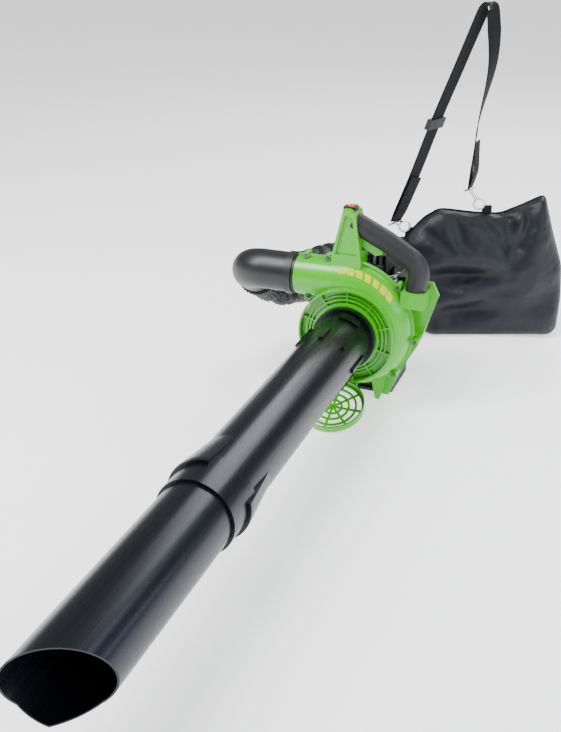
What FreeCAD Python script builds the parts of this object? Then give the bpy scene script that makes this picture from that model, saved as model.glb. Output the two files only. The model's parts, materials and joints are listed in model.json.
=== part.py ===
# Petrol leaf blower and vacuum: suction tube, fan scroll, two-stroke engine, discharge elbow,
# collection bag and shoulder strap. Millimetres, +Z up, -Y along the suction tube, outlet to -X.
# The origin is on the flat underside of the base, straight below the fan shaft.
import math
import os

import FreeCAD, Part

V = FreeCAD.Vector

# ---- driving dimensions ----
axis_z = 140.0            # height of the fan shaft above the floor
wall = 3.0                # casing wall
fit_gap = 0.05            # radial gap of a running fit
clear = 0.3               # gap between neighbours that move past each other
seat = 0.02               # gap between fixed neighbours

duct_r = 36.0             # outer radius of the scroll's round section and of the outlet
part_y = -37.0            # plane where the two fan casings meet
turn_a = 66.0             # scroll centreline radius, left to bottom
turn_b = 76.0             # bottom to right
turn_c = 88.0             # right to top
drop_a = 6.0              # how far the first turn's centre lies below the shaft
outlet_x = -107.0         # end of the outlet's full round
spigot_x = -132.0         # end of the reduced outlet spigot
fan_r = 76.0              # impeller radius
chamber_r = fan_r + 10.0  # outer radius of the round fan chamber
flange_out = 4.0          # height of the joint flange round the casings
flange_half = 4.0         # half its width

collar_r = 90.0           # rim of the round intake recess
collar_front = -85.0      # plane of that rim
tube_r = 52.0             # outer radius of the suction tubes
tube_wall = 2.2
root_r = 58.0             # collar at the tube's root
root_end = -98.0
socket_wall = 5.0
bell_r = 56.0
lug_r = 57.0
bell_start = -630.0
bell_end = -696.0
bulge_r = 61.0
bulge_start = -570.0
bulge_end = -655.0
lower_start = -642.0
nozzle_mid = -999.0
nozzle_slant = 31.0
nozzle_turn = 20.0        # degrees, where the slanted rim is longest
nozzle_tip = 20.0         # how far the pointed tip stands past the slanted rim
tip_at = -99.0
tip_half = 45.0

shaft_r = 7.5
shaft_front_r = 6.0
case_r = 34.0
web_r = 26.0
web_t = 7.0
cyl_y = 27.5              # plane of the cylinder's bore
web_gap = 14.0
case_wall = 14.0
bore_r = 17.0
stroke = 28.0
rod_len = 58.0
piston_top = 14.0
piston_skirt = 12.0
bearing_r = 17.5
bearing_t = 11.0
seal_t = 3.0
fly_r = 42.0
fly_y0 = 58.0
fly_t = 14.0

elbow_r = 37.0
elbow_x = -217.0
elbow_turn = 44.0
elbow_leg = 110.0
elbow_fall = 30.5         # degrees below level

handle_y = -33.0
grip_r = 19.0
grip_wall = 3.0
trigger_w = 10.0
pin_half = 12.5           # half length of the trigger's pin

bag_y = 340.0              # the bag's middle plane before it is turned
bag_half = 46.0
bag_turn = 22.0            # degrees about Z through the bag's turning point
bag_turn_x = 120.0
strap_w = 38.0
strap_t = 3.0


# ---- small helpers ----
def save(name, shape):
    if shape.ShapeType != "Solid":
        shape = Part.Compound(shape.Solids)
    shape.exportStep("parts/" + name + ".step")
    print(name, len(shape.Solids), "solids", round(shape.Volume / 1000.0, 2), "cm3", shape.isValid())


def block(x0, x1, y0, y1, z0, z1):
    return Part.makeBox(x1 - x0, y1 - y0, z1 - z0, V(x0, y0, z0))


def rod(r, start, end):
    """A round bar between two points."""
    a = V(*start)
    b = V(*end)
    return Part.makeCylinder(r, (b - a).Length, a, b - a)


def rod_y(r, y0, y1, x=0.0, z=axis_z):
    return Part.makeCylinder(r, y1 - y0, V(x, y0, z), V(0, 1, 0))


def tube_y(r_out, r_in, y0, y1, x=0.0, z=axis_z):
    return rod_y(r_out, y0, y1, x, z).cut(rod_y(r_in, y0 - 1, y1 + 1, x, z))


def union(shapes):
    joined = shapes[0].multiFuse(shapes[1:]) if len(shapes) > 1 else shapes[0]
    return joined.removeSplitter()


def prism_y(points, y0, y1):
    """An outline of x, z points, carried from y0 to y1."""
    corners = [V(x, y0, z) for x, z in points]
    face = Part.Face(Part.makePolygon(corners + [corners[0]]))
    return face.extrude(V(0, y1 - y0, 0))


def on_ring(r, degrees, y=0.0):
    a = math.radians(degrees)
    return V(r * math.cos(a), y, axis_z + r * math.sin(a))


def turned_y(shape, degrees, x=0.0, z=axis_z):
    """Turns a copy about the line along Y; positive lifts +X towards +Z."""
    copy = shape.copy()
    copy.rotate(V(x, 0, z), V(0, -1, 0), degrees)
    return copy


def sector_y(r_out, r_in, y0, y1, mid, half):
    """A piece of ring, half degrees each side of mid."""
    a = Part.makeCylinder(r_out, y1 - y0, V(0, 0, 0), V(0, 0, 1), 2 * half)
    b = Part.makeCylinder(r_in, y1 - y0 + 2, V(0, 0, -1), V(0, 0, 1))
    piece = a.cut(b)
    piece.rotate(V(0, 0, 0), V(0, 0, 1), mid - half)
    piece.rotate(V(0, 0, 0), V(1, 0, 0), 90)
    piece.translate(V(0, y1, axis_z))
    return piece


def ramp_sector(profile, mid, half):
    """A piece of a turned body, half degrees each side of mid, from r, y points."""
    corners = [V(r, y, axis_z) for r, y in profile]
    face = Part.Face(Part.makePolygon(corners + [corners[0]]))
    piece = face.revolve(V(0, 0, axis_z), V(0, -1, 0), 2 * half)
    return turned_y(piece, mid - half)


def bent_wire(points, radii):
    """Straight runs joined by tangent arcs, one radius for each inner point."""
    edges = []
    start = V(*points[0])
    for i, radius in enumerate(radii):
        corner = V(*points[i + 1])
        into = (corner - V(*points[i])).normalize()
        out = (V(*points[i + 2]) - corner).normalize()
        half = into.getAngle(out) / 2
        cut = radius * math.tan(half)
        a = corner - into * cut
        b = corner + out * cut
        inward = (out - into).normalize()
        mid = corner + inward * (radius / math.cos(half) - radius)
        if (a - start).Length > 1e-6:
            edges.append(Part.LineSegment(start, a).toShape())
        edges.append(Part.Arc(a, mid, b).toShape())
        start = b
    end = V(*points[-1])
    if (end - start).Length > 1e-6:
        edges.append(Part.LineSegment(start, end).toShape())
    return Part.Wire(edges)


def pipe(points, radii, r):
    wire = bent_wire(points, radii)
    first = V(*points[0])
    along = V(*points[1]) - first
    ring = Part.Wire(Part.Circle(first, along, r).toShape())
    return wire.makePipeShell([ring], True, False)


def hex_nut(across, y0, y1, x=0.0, z=axis_z):
    r = across / math.sqrt(3)
    corners = [(x + r * math.cos(math.pi * k / 3), z + r * math.sin(math.pi * k / 3)) for k in range(6)]
    return prism_y(corners, y0, y1)


def screw_y(r, head_r, y_tip, y_head, x, z, toward=-1):
    """A pan-head screw along Y; toward is the side its head faces."""
    head_t = head_r * 0.8
    shank = rod_y(r, min(y_tip, y_head), max(y_tip, y_head), x, z)
    if toward < 0:
        head = rod_y(head_r, y_head - head_t, y_head, x, z)
    else:
        head = rod_y(head_r, y_head, y_head + head_t, x, z)
    return shank.fuse(head)


# ---- fan casing ----
center_a = (0.0, axis_z - drop_a)
bottom_z = center_a[1] - turn_a
center_b = (0.0, bottom_z + turn_b)
right_x = center_b[0] + turn_b
center_c = (right_x - turn_c, center_b[1])
outlet_z = center_c[1] + turn_c


def quarter_torus(center, big, small, start):
    """A quarter turn of round duct about a line along Y, from start degrees on, counter-clockwise."""
    base = V(center[0] + big, part_y, center[1])
    ring = Part.Face(Part.Wire(Part.Circle(base, V(0, 0, 1), small).toShape()))
    piece = ring.revolve(V(center[0], part_y, center[1]), V(0, -1, 0), 90)
    piece.rotate(V(center[0], part_y, center[1]), V(0, -1, 0), start)
    return piece


def scroll(small, end_x):
    """The scroll's closed volume with a round section of this radius."""
    left = V(center_a[0] - turn_a, 0, center_a[1])
    bottom = V(0, 0, bottom_z)
    right = V(right_x, 0, center_b[1])
    top = V(center_c[0], 0, outlet_z)
    s = math.sqrt(0.5)
    mid_a = V(center_a[0] - turn_a * s, 0, center_a[1] - turn_a * s)
    mid_b = V(center_b[0] + turn_b * s, 0, center_b[1] - turn_b * s)
    mid_c = V(center_c[0] + turn_c * s, 0, center_c[1] + turn_c * s)
    outline = Part.Wire([Part.Arc(left, mid_a, bottom).toShape(), Part.Arc(bottom, mid_b, right).toShape(),
                         Part.Arc(right, mid_c, top).toShape(), Part.LineSegment(top, left).toShape()])
    core = Part.Face(outline)
    core.translate(V(0, part_y - small, 0))
    core = core.extrude(V(0, 2 * small, 0))
    chamber = rod_y(chamber_r - duct_r + small, part_y - small, part_y + small)
    return union([core, chamber, quarter_torus(center_a, turn_a, small, 180),
                  quarter_torus(center_b, turn_b, small, 270), quarter_torus(center_c, turn_c, small, 0),
                  rod(small, (center_c[0], part_y, outlet_z), (end_x, part_y, outlet_z))])


boss_spots = [(-91.0, axis_z + 139.0 - 8), (-88.0, axis_z + 50.0), (-50.0, axis_z + 131.0),
              (83.0, axis_z + 93.0), (120.0, axis_z - 8.0), (84.0, axis_z - 78.0),
              (10.0, axis_z - 112.0), (-74.0, axis_z - 76.0)]
boss_r = 6.0
boss_half = 11.0
casing_front_y = part_y - duct_r
casing_back_y = part_y + duct_r
back_inner_y = casing_back_y - wall
socket_bore = root_r + fit_gap
socket_r = socket_bore + socket_wall
socket_floor = casing_front_y - 0.5
lug_y0 = -82.0
lug_y1 = -78.0
lug_h = 2.2
intake_r = tube_r - tube_wall
guard_pivot = (collar_front - 2.0, 62.0)      # y, z
bracket_outline = [(80.0, axis_z + 62.0), (88.0, axis_z + 96.0), (138.0, axis_z + 96.0),
                   (150.0, axis_z + 72.0), (121.0, axis_z - 24.0), (88.0, axis_z - 86.0),
                   (68.0, 0.0), (54.0, 0.0), (44.0, axis_z - 84.0)]


def casings():
    outer = scroll(duct_r, outlet_x)
    wide = scroll(duct_r + flange_out, outlet_x)
    slab = block(-300, 300, part_y - flange_half, part_y + flange_half, -50, 400)
    flange = wide.common(slab)
    spigot = rod(elbow_r - wall - fit_gap, (outlet_x, part_y, outlet_z), (spigot_x, part_y, outlet_z))
    bosses = [rod_y(boss_r, part_y - boss_half, part_y + boss_half, x, z) for x, z in boss_spots]
    hollow = scroll(duct_r - wall, outlet_x - 1)
    bore = rod(elbow_r - wall - fit_gap - 2.2, (outlet_x + 1, part_y, outlet_z), (spigot_x - 1, part_y, outlet_z))
    body = union([outer, flange, spigot] + bosses)

    front = body.common(block(-300, 300, -150, part_y, -50, 400))
    rings = [tube_y(collar_r, collar_r - wall, collar_front, casing_front_y + 6),
             tube_y(77.0, 74.5, casing_front_y - 5, casing_front_y + 1),
             tube_y(70.5, 68.0, casing_front_y - 8, casing_front_y + 1),
             tube_y(socket_r, socket_bore, collar_front, casing_front_y + 1)]
    ribs = []
    for degrees in range(18, 378, 36):
        rib = block(socket_r - 1, collar_r - 1, casing_front_y - 6, casing_front_y + 1, axis_z - 1.3, axis_z + 1.3)
        if abs(degrees - 270) > 20:
            ribs.append(turned_y(rib, degrees))
    front = union([front, guard_ears()] + rings + ribs)
    front = front.cut(rod_y(socket_bore, collar_front - 1, socket_floor))
    front = front.cut(rod_y(intake_r, socket_floor - 1, casing_front_y + wall + 1))
    front = front.cut(tube_y(root_r + lug_h + 0.8, root_r - 1, lug_y0 - 0.2, lug_y1 + 0.2))
    front = front.cut(hollow).cut(bore)

    rear = body.common(block(-300, 300, part_y, 150, -50, 400))
    plate = prism_y(bracket_outline, casing_back_y - 11.0, casing_back_y)
    socket_block = block(91.0, 134.0, handle_y - 22.0, casing_back_y, axis_z + 58.0, axis_z + 88.0)
    foot = prism_y([(38.0, axis_z - 92.0), (66.0, axis_z - 92.0), (57.0, 0.0), (49.0, 0.0)],
                   part_y, casing_back_y)
    rear = union([rear, plate, socket_block, foot])
    rear = rear.cut(hollow).cut(bore).cut(rod_y(11.5, back_inner_y - 2, casing_back_y + 1))
    rear = rear.cut(front)
    hand = grip_line_end_cut()
    rear = rear.cut(hand)
    front = front.cut(hand)
    holes = [rod_y(2.0 + fit_gap, part_y - boss_half - 1, part_y + boss_half - 3, x, z) for x, z in boss_spots]
    holes += [rod_y(3.8 + clear, part_y - boss_half - 14, part_y - boss_half, x, z) for x, z in boss_spots]
    for hole in holes:
        front = front.cut(hole)
        rear = rear.cut(hole)
    return front, rear


def guard_ears():
    y, z = guard_pivot
    ears = []
    for x in (-16.0, 16.0):
        ear = block(x - 2.5, x + 2.5, y - 3.5, casing_front_y + 1, z - 4.5, z + 4.5)
        hole = rod(1.52, (x - 4, y, z), (x + 4, y, z))
        ears.append(ear.cut(hole))
    return ears[0].fuse(ears[1])


def casing_screws():
    screws = [screw_y(2.0, 3.8, part_y + boss_half - 4, part_y - boss_half, x, z) for x, z in boss_spots]
    return Part.Compound(screws)


# ---- suction tubes ----
def tube_rib(degrees, y0, y1, height=4.0, width=7.0):
    rib = block(tube_r - 1.0, tube_r + height, y0, y1, axis_z - width / 2, axis_z + width / 2)
    return turned_y(rib, degrees)


def upper_tube():
    r_in = tube_r - tube_wall
    parts = [tube_y(tube_r, r_in, lower_start, socket_floor - clear),
             tube_y(root_r, r_in, root_end, socket_floor - clear),
             tube_y(bell_r, r_in, bell_end, bell_start),
             sector_y(56.0, tube_r - 1, -128.0, -109.0, 69.5, 20)]
    for mid in (139, 319):
        ramp = [(tube_r - 1, bulge_start), (tube_r, bulge_start), (bulge_r, bulge_end + 7), (bulge_r, bulge_end),
                (tube_r - 1, bulge_end)]
        parts.append(ramp_sector(ramp, mid, 51))
        parts.append(sector_y(root_r + lug_h, root_r - 1, lug_y0 + 0.1, lug_y1 - 0.1, mid, 15))
    ribs = [(90, -222, -178), (45, -217, -123), (355, -209, -147), (142, -221, -150),
            (180, -215, -150), (225, -217, -123), (270, -222, -178), (310, -209, -147)]
    parts += [tube_rib(a, y0, y1) for a, y0, y1 in ribs]
    body = union(parts)
    body = body.cut(rod_y(tube_r + fit_gap, bell_end - 1, lower_start + clear))
    body = body.cut(rod_y(r_in, lower_start - 1, socket_floor + 1))
    for mid in (139, 319):
        body = body.cut(sector_y(lug_r + 0.4, tube_r - 1, -652.0, -645.0, mid, 50))
    return body


def lower_tube():
    r_in = tube_r - tube_wall
    long_end = nozzle_mid - nozzle_slant - nozzle_tip
    body = tube_y(tube_r, r_in, long_end, lower_start)
    for mid in (117, 297):
        body = body.fuse(sector_y(lug_r, tube_r - 1, -651.6, -645.4, mid, 22))
    body = body.cut(rod_y(r_in, long_end - 1, lower_start + 1))
    turn = math.radians(nozzle_turn)
    slope = nozzle_slant / tube_r
    out = V(slope * math.cos(turn), -1, -slope * math.sin(turn)).normalize()
    cutter = Part.makeBox(400, 400, 200, V(-200, -200, 0))
    cutter.Placement = FreeCAD.Placement(V(0, nozzle_mid, axis_z), FreeCAD.Rotation(V(0, 0, 1), out))
    spots = []
    for degrees, drop in ((tip_at - tip_half, 0.0), (tip_at, nozzle_tip), (tip_at + tip_half, 0.0)):
        a = math.radians(degrees)
        spots.append(V(tube_r * math.cos(a), nozzle_mid + nozzle_slant * math.cos(a + turn) - drop, 0))
    inside = V(0, 60, 0)
    outline = [spots[0] + inside] + spots + [spots[-1] + inside]
    tongue = Part.Face(Part.makePolygon(outline + [outline[0]]))
    tongue.translate(V(0, 0, axis_z - tube_r * 1.2))
    return body.cut(cutter.cut(tongue.extrude(V(0, 0, tube_r * 0.65))))


# ---- intake guard ----
guard_r = 58.0
guard_reach = 66.0
guard_open = 113.0


def intake_guard():
    y, z = guard_pivot
    mid_z = z + guard_reach
    front = y - 13.0
    pieces = [tube_y(guard_r, guard_r - 2.5, front, y, 0, mid_z)]
    for r in (44.0, 31.0, 18.0):
        pieces.append(tube_y(r, r - 4.0, front, front + 3.0, 0, mid_z))
    pieces.append(tube_y(guard_r, guard_r - 6.0, front, front + 3.0, 0, mid_z))
    pieces.append(rod_y(6.0, front, front + 3.0, 0, mid_z))
    for degrees in range(0, 360, 45):
        spoke = block(4.0, guard_r - 2.0, front, front + 3.0, mid_z - 2.0, mid_z + 2.0)
        pieces.append(turned_y(spoke, degrees, 0, mid_z))
    knuckle = rod(4.0, (-12.5, y, z), (12.5, y, z))
    arm = block(-12.5, 12.5, y - 4.0, y + 1.0, z, z + 10.5)
    pieces += [knuckle, arm]
    guard = union(pieces)
    guard = guard.cut(rod(1.55, (-13, y, z), (13, y, z)))
    guard.rotate(V(0, y, z), V(1, 0, 0), guard_open)
    return guard


def guard_pin():
    y, z = guard_pivot
    return rod(1.5, (-19.5, y, z), (19.5, y, z))


# ---- rotor ----
nut_y = -71.0
blade_y = -64.3
hub_front = -61.5
hub_back = -8.0


def impeller():
    disc = rod_y(fan_r, hub_back - 3.0, hub_back - 0.5)
    hub = rod_y(16.0, hub_front, hub_back)
    vanes = []
    for degrees in range(0, 360, 45):
        outline = [V(14, hub_back - 2, axis_z - 1.5), V(fan_r, hub_back - 2, axis_z - 1.5),
                   V(fan_r, part_y - 22, axis_z - 1.5), V(54, hub_front + 3, axis_z - 1.5),
                   V(14, hub_front + 5, axis_z - 1.5)]
        vane = Part.Face(Part.makePolygon(outline + [outline[0]])).extrude(V(0, 0, 3))
        vanes.append(turned_y(vane, degrees))
    body = union([disc, hub] + vanes)
    return body.cut(rod_y(shaft_front_r, hub_front - 1, hub_back + 1))


def shredder_blade():
    bar = block(-44, 44, blade_y, hub_front, axis_z - 7, axis_z + 7)
    return bar.cut(rod_y(shaft_front_r, blade_y - 1, hub_front + 1))


def impeller_nut():
    return hex_nut(19.0, nut_y, blade_y).cut(rod_y(shaft_front_r, nut_y - 1, blade_y + 1))


web_mid = cyl_y - web_gap / 2
web_far = cyl_y + web_gap / 2
case_front = casing_back_y
chamber_y0 = case_front + case_wall
chamber_y1 = 2 * cyl_y - chamber_y0
case_back = 2 * cyl_y - case_front
shaft_end = 92.0


def crankshaft():
    front = union([rod_y(shaft_front_r, nut_y - 1.5, hub_back), rod_y(shaft_r, hub_back, web_mid),
                   rod_y(web_r, web_mid - web_t, web_mid)])
    back = union([rod_y(web_r, web_far, web_far + web_t), rod_y(shaft_r, web_far, fly_y0 + fly_t),
                  rod_y(5.0, fly_y0 + fly_t, fly_y0 + fly_t + 3)])
    return Part.Compound([front, back])


def flywheel():
    disc = tube_y(fly_r, shaft_r, fly_y0, fly_y0 + 7)
    hub = tube_y(15.0, shaft_r, fly_y0, fly_y0 + fly_t)
    fins = []
    for degrees in range(0, 360, 30):
        fin = block(16, fly_r - 2, fly_y0 + 6, fly_y0 + fly_t - 1, axis_z - 1, axis_z + 1)
        fins.append(turned_y(fin, degrees))
    return union([disc, hub] + fins)


# ---- crankcase, cylinder, piston ----
deck_z = axis_z + 30.0
pin_z = axis_z - stroke / 2
wrist_z = pin_z + rod_len
crown_z = wrist_z + piston_top
head_z = crown_z + stroke + 2.0
cyl_top = head_z + 12.0


def crankcase():
    body = union([rod_y(case_r, case_front, case_back),
                  block(-26, 26, case_front, case_back, axis_z, deck_z)])
    body = body.common(block(-100, 100, -50, 150, 0, deck_z))
    body = body.cut(rod_y(web_r + 2, chamber_y0, chamber_y1))
    body = body.cut(rod_y(bearing_r, case_front + seal_t, case_back - seal_t))
    body = body.cut(rod_y(bearing_r - 3, case_front - 1, case_back + 1))
    body = body.cut(Part.makeCylinder(bore_r + 3.0 + seat, 40, V(0, cyl_y, axis_z + 10)))
    front = body.common(block(-100, 100, -50, cyl_y, 0, 300))
    back = body.common(block(-100, 100, cyl_y, 150, 0, 300))
    return front, back


def bearings():
    front = tube_y(bearing_r, shaft_r + fit_gap, case_front + seal_t, case_front + seal_t + bearing_t)
    back = tube_y(bearing_r, shaft_r + fit_gap, case_back - seal_t - bearing_t, case_back - seal_t)
    return Part.Compound([front, back])


def seals():
    front = tube_y(bearing_r - 3, shaft_r + fit_gap, case_front, case_front + seal_t)
    back = tube_y(bearing_r - 3, shaft_r + fit_gap, case_back - seal_t, case_back)
    return Part.Compound([front, back])


port_z = crown_z + 8.0
muffler_x = -44.0
inlet_x = 34.0


def cylinder():
    liner = Part.makeCylinder(bore_r + 3.0, cyl_top - deck_z + 2.5, V(0, cyl_y, deck_z - 2.5))
    foot = block(-26, 26, cyl_y - 26, cyl_y + 26, deck_z, deck_z + 5)
    fins = []
    z = deck_z + 16.0
    while z + 2.2 <= cyl_top:
        fins.append(block(-29, 29, cyl_y - 27, cyl_y + 27, z, z + 2.2))
        z += 6.5
    exhaust = block(muffler_x + seat, -bore_r, cyl_y - 14, cyl_y + 14, port_z - 10, port_z + 10)
    inlet = block(bore_r, inlet_x - seat, cyl_y - 14, cyl_y + 14, port_z - 10, port_z + 10)
    body = union([liner, foot, exhaust, inlet] + fins)
    body = body.cut(Part.makeCylinder(bore_r, head_z - deck_z + 3.5, V(0, cyl_y, deck_z - 3.5)))
    body = body.cut(rod(6.0, (muffler_x - 1, cyl_y, port_z), (0, cyl_y, port_z)))
    body = body.cut(rod(6.0, (inlet_x + 1, cyl_y, port_z), (0, cyl_y, port_z)))
    return body.cut(Part.makeCylinder(5.0, 20, V(0, cyl_y, head_z - 1)))


def piston():
    r = bore_r - fit_gap
    body = Part.makeCylinder(r, piston_top + piston_skirt, V(0, cyl_y, wrist_z - piston_skirt))
    body = body.cut(Part.makeCylinder(r - 3.5, piston_top + piston_skirt - 4, V(0, cyl_y, wrist_z - piston_skirt - 0.5)))
    body = body.cut(rod_y(4.5, cyl_y - 30, cyl_y + 30, 0, wrist_z))
    for z in (crown_z - 4.0, crown_z - 7.5):
        groove = Part.makeCylinder(r + 1, 1.5, V(0, cyl_y, z)).cut(Part.makeCylinder(r - 1.5, 1.5, V(0, cyl_y, z)))
        body = body.cut(groove)
    return body


def piston_rings():
    r = bore_r - fit_gap / 2
    rings = []
    for z in (crown_z - 4.0, crown_z - 7.5):
        ring = Part.makeCylinder(r, 1.4, V(0, cyl_y, z + seat)).cut(Part.makeCylinder(r - 1.4, 1.4, V(0, cyl_y, z + seat)))
        rings.append(ring)
    return Part.Compound(rings)


def wrist_pin():
    return rod_y(4.5, cyl_y - 15.5, cyl_y + 15.5, 0, wrist_z)


def connecting_rod():
    big = rod_y(8.5, cyl_y - 6, cyl_y + 6, 0, pin_z)
    small = rod_y(7.0, cyl_y - 6, cyl_y + 6, 0, wrist_z)
    beam = block(-4, 4, cyl_y - 3, cyl_y + 3, pin_z, wrist_z)
    body = union([big, small, beam])
    return body.cut(rod_y(5.0, 0, 60, 0, pin_z)).cut(rod_y(4.5, 0, 60, 0, wrist_z))


def crankpin():
    return rod_y(5.0, web_mid + clear, web_far - clear, 0, pin_z)


# ---- ignition, exhaust, fuel ----
def ignition_coil():
    legs = union([block(-24, -14, fly_y0 + 0.5, fly_y0 + 6.5, axis_z + 24, axis_z + 66),
                  block(14, 24, fly_y0 + 0.5, fly_y0 + 6.5, axis_z + 24, axis_z + 66),
                  block(-24, 24, fly_y0 + 0.5, fly_y0 + 6.5, axis_z + 56, axis_z + 66)])
    legs = legs.cut(rod_y(fly_r + clear, fly_y0 - 1, fly_y0 + fly_t))
    posts = [block(x - 5, x + 5, cyl_y + 27 + seat, fly_y0 + 1, deck_z + 14, deck_z + 26) for x in (-19, 19)]
    legs = union([legs] + posts)
    winding = block(-12, 12, fly_y0 - 1.0, fly_y0 + 9, axis_z + 46, axis_z + 72)
    return union([legs, winding])


plug_top = cyl_top + 22.0


def spark_plug():
    thread = Part.makeCylinder(4.98, head_z + 12 - head_z, V(0, cyl_y, head_z))
    hexagon = hex_prism_z(16.0, cyl_top, cyl_top + 8)
    insulator = Part.makeCylinder(4.5, 10.0, V(0, cyl_y, cyl_top + 8))
    return union([thread, hexagon, insulator])


def hex_prism_z(across, z0, z1):
    r = across / math.sqrt(3)
    pts = [V(r * math.cos(math.pi * k / 3), cyl_y + r * math.sin(math.pi * k / 3), z0) for k in range(6)]
    return Part.Face(Part.makePolygon(pts + [pts[0]])).extrude(V(0, 0, z1 - z0))


def plug_cap():
    boot = Part.makeCylinder(9.0, 15.0, V(0, cyl_y, cyl_top + 8 + seat))
    stub = rod(5.5, (0, cyl_y, cyl_top + 17), (0, cyl_y + 15, cyl_top + 17))
    body = union([boot, stub])
    return body.cut(Part.makeCylinder(4.5 + seat, 10.0 + seat, V(0, cyl_y, cyl_top + 8)))


def plug_lead():
    start = (0, cyl_y + 15 + seat, cyl_top + 17)
    pts = [start, (0, fly_y0 + 4, cyl_top + 17), (0, fly_y0 + 4, axis_z + 72 + seat)]
    return pipe(pts, [9.0], 3.0)


def muffler():
    box = block(-84, muffler_x, 6, 49, port_z - 22, port_z + 22)
    box = box.makeFillet(5.0, box.Edges)
    flange = block(muffler_x - 6, muffler_x, cyl_y - 15, cyl_y + 15, port_z - 12, port_z + 12)
    body = union([box, flange])
    body = body.cut(rod(6.0, (muffler_x - 8, cyl_y, port_z), (muffler_x + 1, cyl_y, port_z)))
    outlet = rod(5.0, (-66, 49, port_z + 8), (-66, 56, port_z + 8))
    return union([body, outlet])


def muffler_guard():
    outer = block(-90, -50, 1, 58, port_z - 27, port_z + 27)
    inner = block(-87.5, -49, 3.5, 60, port_z - 24.5, port_z + 24.5)
    body = outer.cut(inner)
    for k in range(5):
        z = port_z - 18 + 9 * k
        body = body.cut(block(-92, -86, 10, 48, z - 2, z + 2))
    posts = [rod(3.0, (-88, 27, port_z + dz), (-84 - seat, 27, port_z + dz)) for dz in (-21.5, 21.5)]
    return union([body] + posts)


def intake_manifold():
    body = block(inlet_x, inlet_x + 8, cyl_y - 14, cyl_y + 14, port_z - 12, port_z + 12)
    return body.cut(rod(6.0, (inlet_x - 1, cyl_y, port_z), (inlet_x + 9, cyl_y, port_z)))


carb_x0 = inlet_x + 8.0 + seat
carb_x1 = carb_x0 + 27.0
lever_z = port_z + 16.0
primer_x = carb_x0 + 13.0
lever_reach = 18.0
lever_idle = 20.0         # degrees the idle lever stands off the +Y direction


def carburettor():
    body = block(carb_x0, carb_x1, cyl_y - 15, cyl_y + 15, port_z - 15, port_z + 15)
    post = Part.makeCylinder(3.0, 6.0, V(primer_x, cyl_y, port_z + 15))
    spindle = choke_spindle()
    primer_seat = rod(9.0, (primer_x, cyl_y - 19, port_z - 2), (primer_x, cyl_y - 15, port_z - 2))
    body = union([body, post, primer_seat, spindle])
    body = body.cut(rod(6.0, (carb_x0 - 1, cyl_y, port_z), (carb_x1 + 1, cyl_y, port_z)))
    return body.cut(rod(6.6 + clear, (primer_x, cyl_y - 20, port_z - 2), (primer_x, cyl_y - 12.5, port_z - 2)))


def throttle_lever():
    hub = Part.makeCylinder(6.0, 3.0, V(primer_x, cyl_y, lever_z))
    arm = block(primer_x - 2.5, primer_x + 2.5, cyl_y, cyl_y + lever_reach, lever_z, lever_z + 3)
    tip = Part.makeCylinder(3.5, 6.0, V(primer_x, cyl_y + lever_reach, lever_z))
    body = union([hub, arm, tip])
    body = body.cut(Part.makeCylinder(3.0 + fit_gap, 8, V(primer_x, cyl_y, lever_z - 1)))
    body.rotate(V(primer_x, cyl_y, 0), V(0, 0, 1), -lever_idle)
    return body


def primer_bulb():
    dome = Part.makeSphere(6.6, V(primer_x, cyl_y - 18.5, port_z - 2))
    stem = rod(6.6, (primer_x, cyl_y - 18.5, port_z - 2), (primer_x, cyl_y - 16.0, port_z - 2))
    return union([dome.common(block(0, 200, cyl_y - 40, cyl_y - 18.4, 0, 400)), stem])


filter_x0 = carb_x1 + seat
filter_y0 = -2.0 + 4.0
filter_y1 = 58.0


def air_filter_base():
    plate = block(filter_x0, filter_x0 + 4, filter_y0, filter_y1, port_z - 28, port_z + 30)
    stud = rod(2.5, (filter_x0 + 3, filter_y1 - 9, port_z), (filter_x0 + 24, filter_y1 - 9, port_z))
    plate = plate.cut(block(filter_x0 - 1, filter_x0 + 5, cyl_y - 19, cyl_y - 15.0, port_z + 12, port_z + 26))
    body = union([plate, stud])
    return body.cut(rod(6.0, (filter_x0 - 1, cyl_y, port_z), (filter_x0 + 5, cyl_y, port_z)))


def filter_foam():
    return block(filter_x0 + 4 + seat, filter_x0 + 14, filter_y0 + 6, filter_y1 - 18, port_z - 22, port_z + 24)


def air_filter_cover():
    outer = block(filter_x0 + 4 + seat, filter_x0 + 20, filter_y0, filter_y1, port_z - 28, port_z + 30)
    outer = outer.makeFillet(5.0, [e for e in outer.Edges if e.BoundBox.XMin > filter_x0 + 10])
    inner = block(filter_x0 + 4, filter_x0 + 17.5, filter_y0 + 2.5, filter_y1 - 2.5, port_z - 25.5, port_z + 27.5)
    body = outer.cut(inner)
    for k in range(4):
        y = filter_y0 + 10 + 7 * k
        body = body.cut(block(filter_x0 + 15, filter_x0 + 22, y, y + 3, port_z - 16, port_z + 14))
    return body.cut(rod(3.0, (filter_x0, filter_y1 - 9, port_z), (filter_x0 + 30, filter_y1 - 9, port_z)))


def filter_knob():
    a = (filter_x0 + 20 + clear, filter_y1 - 9, port_z)
    b = (filter_x0 + 29, filter_y1 - 9, port_z)
    head = rod(9.0, a, b)
    for k in range(6):
        notch = rod(2.2, (a[0] - 1, a[1] + 10.2 * math.cos(k * math.pi / 3), a[2] + 10.2 * math.sin(k * math.pi / 3)),
                    (b[0] + 1, a[1] + 10.2 * math.cos(k * math.pi / 3), a[2] + 10.2 * math.sin(k * math.pi / 3)))
        head = head.cut(notch)
    return head.cut(rod(2.5 + fit_gap, (a[0] - 1, a[1], a[2]), (filter_x0 + 25, a[1], a[2])))


choke_y = cyl_y + 15.0


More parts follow.
